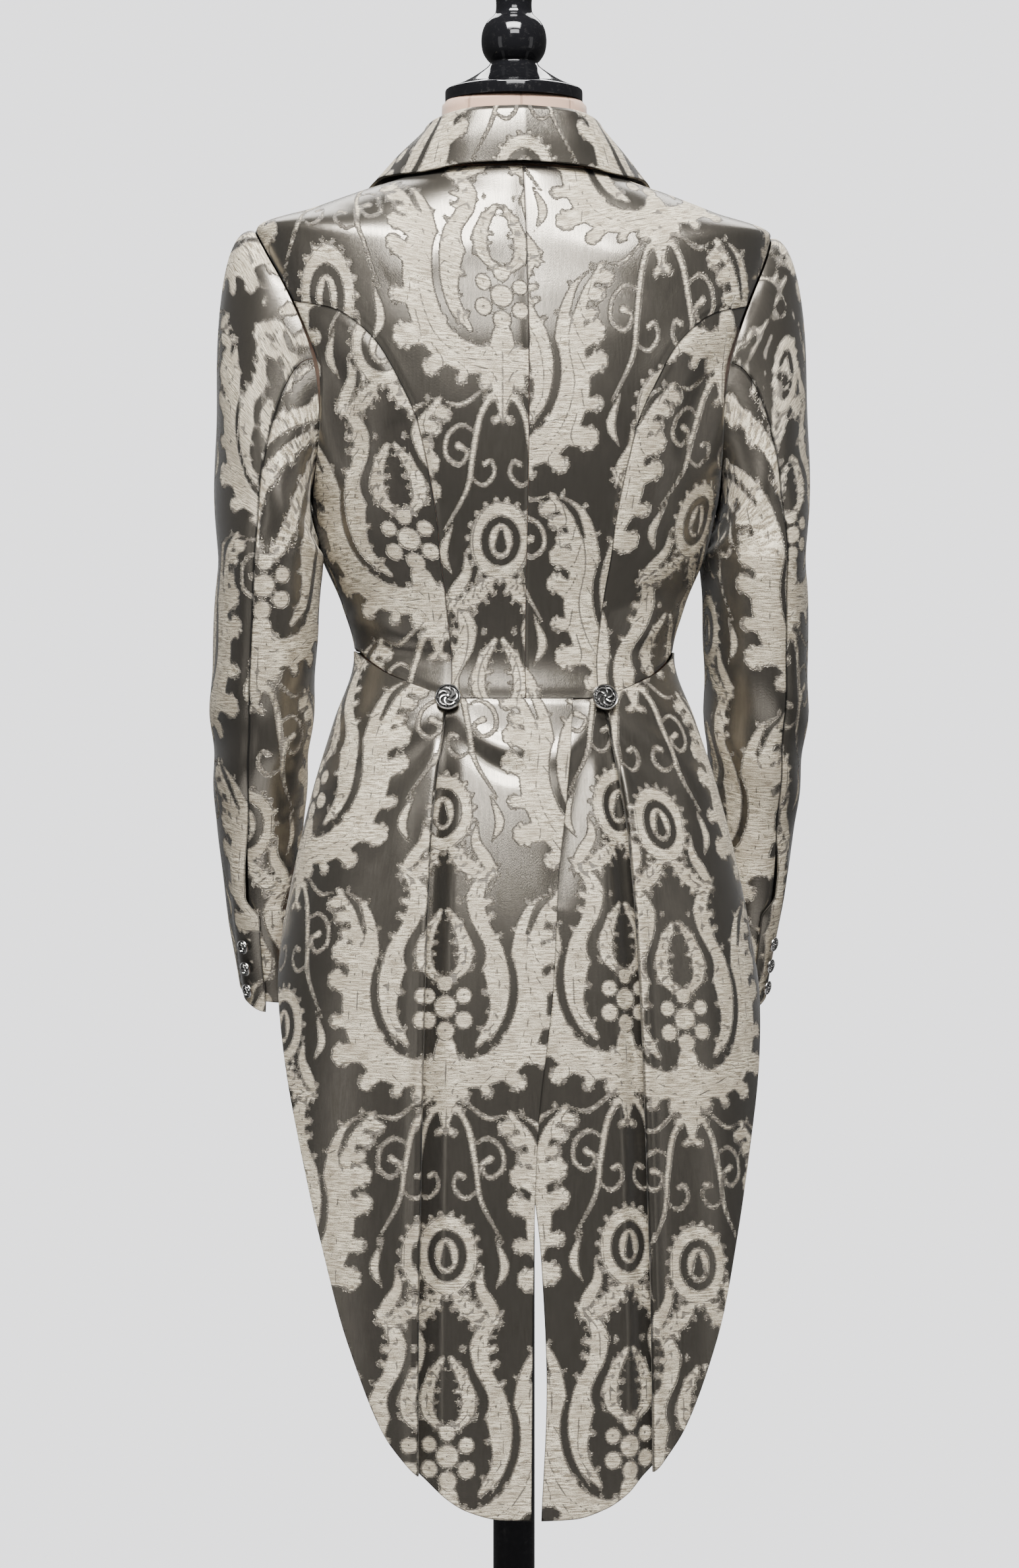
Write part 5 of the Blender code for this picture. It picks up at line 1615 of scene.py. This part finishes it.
def button_mesh(name, radius):
    """A domed button: bright rim, dark dish, a ring of beads and six scrolls round a boss."""
    shank, stem = radius * BUTTON_SHANK, radius * BUTTON_STEM
    face = [(radius * row.out, stem + radius * row.up) for row in BUTTON_FACE]
    parts = [turned_mesh("body", face + [(shank, stem), (shank, 0.0), (0.0, 0.0)], steps=48)]
    lift = stem + radius * BUTTON_DISH
    share = np.linspace(0, 1, SCROLL_POINTS)
    height = lift + radius * (SCROLL_LIFT + SCROLL_RISE * np.sin(np.pi * share))
    reach = radius * (SCROLL_START + SCROLL_REACH * np.sin(share * SCROLL_BOW))
    for k in range(BUTTON_SCROLLS):
        curl = 2 * math.pi * k / BUTTON_SCROLLS + SCROLL_TURN * share + SCROLL_PHASE
        path = np.stack([reach * np.cos(curl), reach * np.sin(curl), height], 1)
        parts.append(tube("scroll", path, radius * (SCROLL_THICK - SCROLL_TAPER * share)))
    boss = [(radius * row.out, lift + radius * row.up) for row in BUTTON_BOSS]
    parts.append(turned_mesh("boss", boss + [(0, lift - BOSS_SINK)], steps=16))
    small = radius * BEAD_RADIUS
    for k in range(BUTTON_BEADS):
        turn = 2 * math.pi * (k + 0.5) / BUTTON_BEADS
        bead = turned_mesh("bead", rounded([(0, small), (small, 0), (0, -small)], count=3), steps=8)
        reach = radius * BEAD_RING
        place = Vector((reach * math.cos(turn), reach * math.sin(turn), lift + radius * BEAD_LIFT))
        for vertex in bead.vertices:
            vertex.co += place
        parts.append(bead)
    return join(parts, name)


def button(name, radius, base, place, normal, finish):
    axis = Vector(normal).normalized()
    location = seat(base, Vector(place), axis, radius * BUTTON_SHANK)
    obj = placed(name, button_mesh(name, radius), finish, smooth_angle=50)
    obj.rotation_mode = "QUATERNION"
    obj.rotation_quaternion = axis.to_track_quat("Z", "Y")
    obj.location = location
    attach(obj, "root")
    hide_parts(name)


def buttons(finish):
    angle = float(angle_of(BACK_BUTTON_ACROSS, BACK_BUTTON_HEIGHT))
    for side in (1, -1):
        name = side_name(side)
        place, normal = on_body(side * angle, BACK_BUTTON_HEIGHT), normal_at(side * angle, BACK_BUTTON_HEIGHT)
        button("back_button_" + name, BACK_BUTTON_RADIUS, f"tail_side_{name}_dressed", place, normal, finish)
    for number, height in enumerate(FRONT_BUTTON_HEIGHTS, 1):
        place, normal = on_body(180.0, height), normal_at(180.0, height)
        button(f"front_button_{number}", FRONT_BUTTON_RADIUS, "front_right_dressed", place, normal, finish)
    length = SLEEVE[0].height - SLEEVE[-1].height
    for side in (1, -1):
        mirror = np.array([side, 1.0, 1.0])
        for number, height in enumerate(CUFF_BUTTON_HEIGHTS, 1):
            down = CAP_SHARE + (1 - CAP_SHARE) * (SLEEVE[0].height - height) / length
            turn = float(SLEEVE_TURN["back_seam"](down)) + CUFF_BUTTON_TURN
            low, high = (sleeve_out(np.array([turn]), np.array([down]), out)[0] for out in (0.0, 0.001))
            name = f"cuff_button_{side_name(side)}_{number}"
            base = f"sleeve_upper_{side_name(side)}_dressed"
            button(name, CUFF_BUTTON_RADIUS, base, low * mirror, (high - low) * mirror, finish)


def torso(finish):
    """The form's covered body, with the seams of its cover."""
    body, shoulders = np.linspace(*TORSO_LEVELS, TORSO_ROWS), np.linspace(*SHOULDER_LEVELS, SHOULDER_ROWS)
    levels = np.concatenate([[FORM_BOTTOM], body, shoulders, [FORM_TOP]])
    around = np.arange(0, 360, TORSO_TURN)
    turn = np.where(around > 180, around - 360, around)
    away = np.abs(turn)
    beside_arm = ramp(away, *HOLLOW_BACK) * (1 - ramp(away, *HOLLOW_FRONT))
    build = bmesh.new()
    rings, seam_of = [], []
    for level in levels:
        end = level in (levels[0], levels[-1])
        hollow = beside_arm * ramp(level, *HOLLOW_FOOT) * (1 - ramp(level, *HOLLOW_TOP))
        inset = cover_gap(level) + ARMHOLE_HOLLOW * hollow + (FORM_ROUND if end else 0.0)
        points = on_body(away, level, -inset)
        points[:, 0] *= np.where(turn < 0, -1, 1)
        if end:
            points[:, 2] = level
        rings.append([build.verts.new(point) for point in points])
        nearest = np.min([np.abs(away - seam) for seam in COVER_SEAMS], axis=0)
        seam_of.append(np.radians(nearest) * np.linalg.norm(points[:, :2], axis=1) * 1000)
    for low, high in zip(rings, rings[1:]):
        for i in range(len(around)):
            j = (i + 1) % len(around)
            build.faces.new((low[i], high[i], high[j], low[j]))
    build.faces.new(rings[0])
    build.faces.new(rings[-1][::-1])
    bmesh.ops.recalc_face_normals(build, faces=build.faces)
    mesh = built(build, "form_torso")
    attribute(mesh, "seam", np.concatenate(seam_of))
    obj = placed("form_torso", mesh, finish)
    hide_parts("form_torso")


def turned_piece(name, profile, finish, steps):
    obj = placed(name, turned_mesh(name, profile, steps), finish, smooth_angle=30)
    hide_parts(name)


def stand(finish):
    """The turned cap with its finial, the pole and the round base, from outlines of radius and height."""
    foot = FORM_TOP + STAND_GAP
    profile = rounded(CAP_OUTLINE, count=4) + [(CAP_OUTLINE[-1][0], foot), (0.0, foot)]
    turned_piece("form_cap", profile, finish, steps=64)
    top, bottom = FORM_BOTTOM - STAND_GAP, BASE_HEIGHT + STAND_GAP
    profile = [(0.0, top)] + rounded(POLE_TOP, count=4) + rounded(POLE_FOOT, count=5) + [(0.0, bottom)]
    turned_piece("form_pole", profile, finish, steps=48)
    rim = [(BASE_RADIUS - FORM_ROUND, 0.0), (0.0, 0.0)]
    profile = [(0.0, BASE_HEIGHT)] + rounded(BASE_OUTLINE, count=5) + rim
    turned_piece("form_base", profile, finish, steps=96)


class Graph:
    """Short calls that add nodes to a material."""

    def __init__(self, name):
        self.material = bpy.data.materials.new(name)
        self.material.use_nodes = True
        self.tree = self.material.node_tree
        self.shader = self.tree.nodes["Principled BSDF"]

    def node(self, kind, **settings):
        made = self.tree.nodes.new(kind)
        for key, value in settings.items():
            setattr(made, key, value)
        return made

    def link(self, source, target):
        if isinstance(source, (int, float, tuple)):
            target.default_value = source
        else:
            self.tree.links.new(source, target)

    def surface(self, **values):
        """Gives the shader's inputs numbers, colours or links. base_color stands for Base Color."""
        for name, value in values.items():
            self.link(value, self.shader.inputs[name.replace("_", " ").title()])

    def math(self, operation, first, second=0.0):
        made = self.node("ShaderNodeMath", operation=operation)
        for socket, value in zip(made.inputs, (first, second)):
            self.link(value, socket)
        return made.outputs[0]

    def add(self, first, second):
        return self.math("ADD", first, second)

    def times(self, first, second):
        return self.math("MULTIPLY", first, second)

    def read(self, name, vector=False):
        made = self.node("ShaderNodeAttribute", attribute_name=name)
        return made.outputs["Vector" if vector else "Fac"]

    def place(self):
        return self.node("ShaderNodeTexCoord").outputs["Object"]

    def scaled(self, vector, factors):
        made = self.node("ShaderNodeVectorMath", operation="MULTIPLY")
        self.link(vector, made.inputs[0])
        made.inputs[1].default_value = factors
        return made.outputs[0]

    def noise(self, vector, scale=1.0, detail=2.0, rough=0.5):
        made = self.node("ShaderNodeTexNoise")
        for name, value in zip(("Vector", "Scale", "Detail", "Roughness"), (vector, scale, detail, rough)):
            self.link(value, made.inputs[name])
        return made.outputs["Fac"]

    def ease(self, value, low, high, start=0.0, end=1.0):
        made = self.node("ShaderNodeMapRange", interpolation_type="SMOOTHSTEP")
        names = ("Value", "From Min", "From Max", "To Min", "To Max")
        for name, number in zip(names, (value, low, high, start, end)):
            self.link(number, made.inputs[name])
        return made.outputs["Result"]

    def mix(self, share, first, second):
        made = self.node("ShaderNodeMix", data_type="RGBA")
        self.link(share, made.inputs["Factor"])
        self.link(first, made.inputs[6])
        self.link(second, made.inputs[7])
        return made.outputs[2]

    def blend(self, share, first, second):
        made = self.node("ShaderNodeMix", data_type="FLOAT")
        for socket, value in zip(made.inputs[:1] + made.inputs[2:4], (share, first, second)):
            self.link(value, socket)
        return made.outputs[0]

    def bump(self, height, strength, distance):
        made = self.node("ShaderNodeBump")
        for name, value in zip(("Height", "Strength", "Distance"), (height, strength, distance)):
            self.link(value, made.inputs[name])
        self.link(made.outputs[0], self.shader.inputs["Normal"])


def brocade_material():
    """Pewter satin with a woven ornament in slubby silver beige, thin dark outlines, and painted edge shadow.
    """
    graph = Graph("brocade")
    cloth = graph.read("cloth", vector=True)

    def threads(across, along, detail=1, rough=0.5):
        return graph.noise(graph.scaled(cloth, (across, along, 1)), detail=detail, rough=rough)

    jag = graph.math("SUBTRACT", threads(*JAG_THREADS), 0.5)
    edge = graph.add(graph.add(graph.read("ornament"), EDGE_SHIFT), graph.times(jag, EDGE_JAG))
    inside = graph.ease(edge, *EDGE_EASE)
    outline = graph.ease(graph.math("ABSOLUTE", graph.add(edge, OUTLINE_SHIFT)), *OUTLINE_EASE)
    veins = graph.ease(graph.add(graph.read("lines"), graph.times(jag, VEIN_JAG)), *VEIN_EASE)
    drawn = graph.math("MAXIMUM", outline, graph.times(veins, inside))

    slub, floats = threads(*SLUB_THREADS, detail=3, rough=0.7), threads(*FLOAT_THREADS)
    weft = graph.add(graph.times(slub, SLUB_SHARE), graph.times(floats, 1 - SLUB_SHARE))
    thread = graph.mix(graph.ease(weft, *WEFT_EASE), THREAD_DARK, THREAD_LIGHT)
    cloudy = graph.ease(threads(*CLOUD_THREADS, detail=2), *CLOUD_EASE, end=CLOUD_SHARE)
    thread = graph.mix(cloudy, thread, THREAD_WARM)
    ribbed = graph.ease(threads(*GROUND_THREADS, detail=2), *GROUND_EASE)
    ground = graph.mix(ribbed, GROUND_DARK, GROUND_LIGHT)
    marked = graph.mix(graph.times(drawn, OUTLINE_SHARE), thread, OUTLINE)
    woven = graph.mix(graph.math("MAXIMUM", inside, outline), ground, marked)
    # Painted shadow along the panels' edges and the pleats' folded edges, darkening the cloth's colour.
    out_of_painted_shadow = graph.ease(graph.read("out_of_painted_shadow"), *PAINTED_SHADOW_EASE, start=PAINTED_SHADOW_LEFT)
    graph.surface(
        base_color=graph.mix(out_of_painted_shadow, PAINTED_SEAM_SHADOW, woven),
        metallic=graph.blend(inside, *METALLIC),
        roughness=graph.blend(inside, *ROUGHNESS),
        sheen_weight=0.12,
        sheen_roughness=0.4,
    )
    relief = graph.times(graph.add(graph.times(weft, WEFT_RELIEF), ORNAMENT_RELIEF), inside)
    dents = graph.times(drawn, OUTLINE_RELIEF)
    fine = graph.times(threads(*FINE_THREADS), FINE_RELIEF)
    soft = graph.times(threads(*SOFT_THREADS, detail=2), SOFT_RELIEF)
    graph.bump(graph.add(graph.add(relief, dents), graph.add(fine, soft)), strength=0.80, distance=0.0007)
    return graph.material


def silver_material():
    """Silver, bright on what stands out and dark in its hollows."""
    graph = Graph("antique_silver")
    standing_out = graph.ease(graph.node("ShaderNodeNewGeometry").outputs["Pointiness"], low=0.49, high=0.56)
    stain = graph.noise(graph.place(), scale=600, detail=3)
    worn = graph.times(standing_out, graph.ease(stain, low=0.25, high=0.6, start=0.6))
    graph.surface(base_color=graph.mix(worn, SILVER_DARK, SILVER), metallic=1.0)
    graph.surface(roughness=graph.blend(worn, first=0.45, second=0.2))
    graph.bump(stain, strength=0.15, distance=0.0003)
    return graph.material


def cover_material():
    """Peach jersey, with the sewn seams of the form's cover."""
    graph = Graph("form_cover")
    place = graph.place()
    knit = graph.noise(graph.scaled(place, KNIT_THREADS), detail=1)
    seam = graph.ease(graph.read("seam"), *COVER_SEAM_EASE)
    tone = graph.mix(graph.noise(place, scale=9, detail=3), JERSEY_DARK, JERSEY_LIGHT)
    tone = graph.mix(graph.times(seam, COVER_SEAM_SHARE), tone, JERSEY_SEAM)
    graph.surface(base_color=tone, roughness=0.85, sheen_weight=0.3)
    graph.bump(graph.math("SUBTRACT", graph.times(knit, KNIT_RELIEF), seam), strength=0.6, distance=0.0006)
    return graph.material


def lacquer_material():
    """Gloss black lacquer with faint ripples and dust."""
    graph = Graph("black_lacquer")
    place = graph.place()
    dust = graph.ease(graph.noise(place, scale=260, detail=4, rough=0.7), low=0.52, high=0.75, end=0.5)
    graph.surface(base_color=graph.mix(dust, LACQUER, LACQUER_DUST), coat_weight=0.5, coat_roughness=0.05)
    graph.surface(roughness=graph.blend(dust, first=0.08, second=0.30))
    graph.bump(graph.noise(place, scale=35, detail=2), strength=0.08, distance=0.001)
    return graph.material


def stage_material():
    graph = Graph("pale_floor")
    mottled = graph.noise(graph.place(), scale=3, detail=4)
    graph.surface(base_color=graph.mix(mottled, FLOOR_DARK, FLOOR_LIGHT), roughness=0.8)
    return graph.material


def area_light(light):
    data = bpy.data.lights.new(light.name, "AREA")
    data.shape = "RECTANGLE"
    data.size, data.size_y = light.size
    data.energy = light.power
    obj = bpy.data.objects.new(light.name, data)
    obj.location = light.place
    obj.rotation_euler = (Vector(LIGHT_AIM) - Vector(light.place)).to_track_quat("-Z", "Y").to_euler()
    bpy.context.scene.collection.objects.link(obj)


def studio():
    """A pale floor and backdrop, a large soft light above and weak ones at the sides."""
    build = bmesh.new()
    bmesh.ops.create_circle(build, cap_ends=True, segments=96, radius=FLOOR_RADIUS)
    floor = bpy.data.objects.new("floor", built(build, "floor"))
    floor.data.materials.append(stage_material())
    bpy.context.scene.collection.objects.link(floor)

    world = bpy.data.worlds.new("studio")
    bpy.context.scene.world = world
    world.use_nodes = True
    nodes, links = world.node_tree.nodes, world.node_tree.links
    shown, room = nodes["Background"], nodes.new("ShaderNodeBackground")
    for background, colour in ((shown, BACKDROP), (room, ROOM)):
        background.inputs["Color"].default_value = colour
        background.inputs["Strength"].default_value = 1.0
    mixed, path = nodes.new("ShaderNodeMixShader"), nodes.new("ShaderNodeLightPath")
    links.new(path.outputs["Is Camera Ray"], mixed.inputs[0])
    links.new(room.outputs[0], mixed.inputs[1])
    links.new(shown.outputs[0], mixed.inputs[2])
    links.new(mixed.outputs[0], nodes["World Output"].inputs["Surface"])

    for light in LIGHTS:
        area_light(light)


def camera():
    turn = math.radians(CAMERA_AZIMUTH)
    away = np.array([math.sin(turn), -math.cos(turn), 0.0])
    right = np.array([math.cos(turn), math.sin(turn), 0.0])
    data = bpy.data.cameras.new("camera")
    data.sensor_width = SENSOR
    data.lens = CAMERA_FOCUS_PIXELS * SENSOR / PHOTO_HEIGHT
    obj = bpy.data.objects.new("camera", data)
    obj.location = away * CAMERA_DISTANCE + right * CAMERA_SIDE + np.array([0, 0, CAMERA_HEIGHT])
    obj.rotation_euler = Vector(-away).to_track_quat("-Z", "Y").to_euler()
    bpy.context.scene.collection.objects.link(obj)
    bpy.context.scene.camera = obj


def dressed_coat():
    brocade = brocade_material()
    silver = silver_material()
    for side in (1, -1):
        backs(side, brocade)
        fronts(side, brocade)
        lapels(side, brocade)
        sleeves(side, brocade)
        centre_tail(side, brocade)
        side_tail(side, brocade)
    collar(brocade)
    buttons(silver)
    torso(cover_material())
    stand(lacquer_material())


dressed_coat()
studio()
camera()
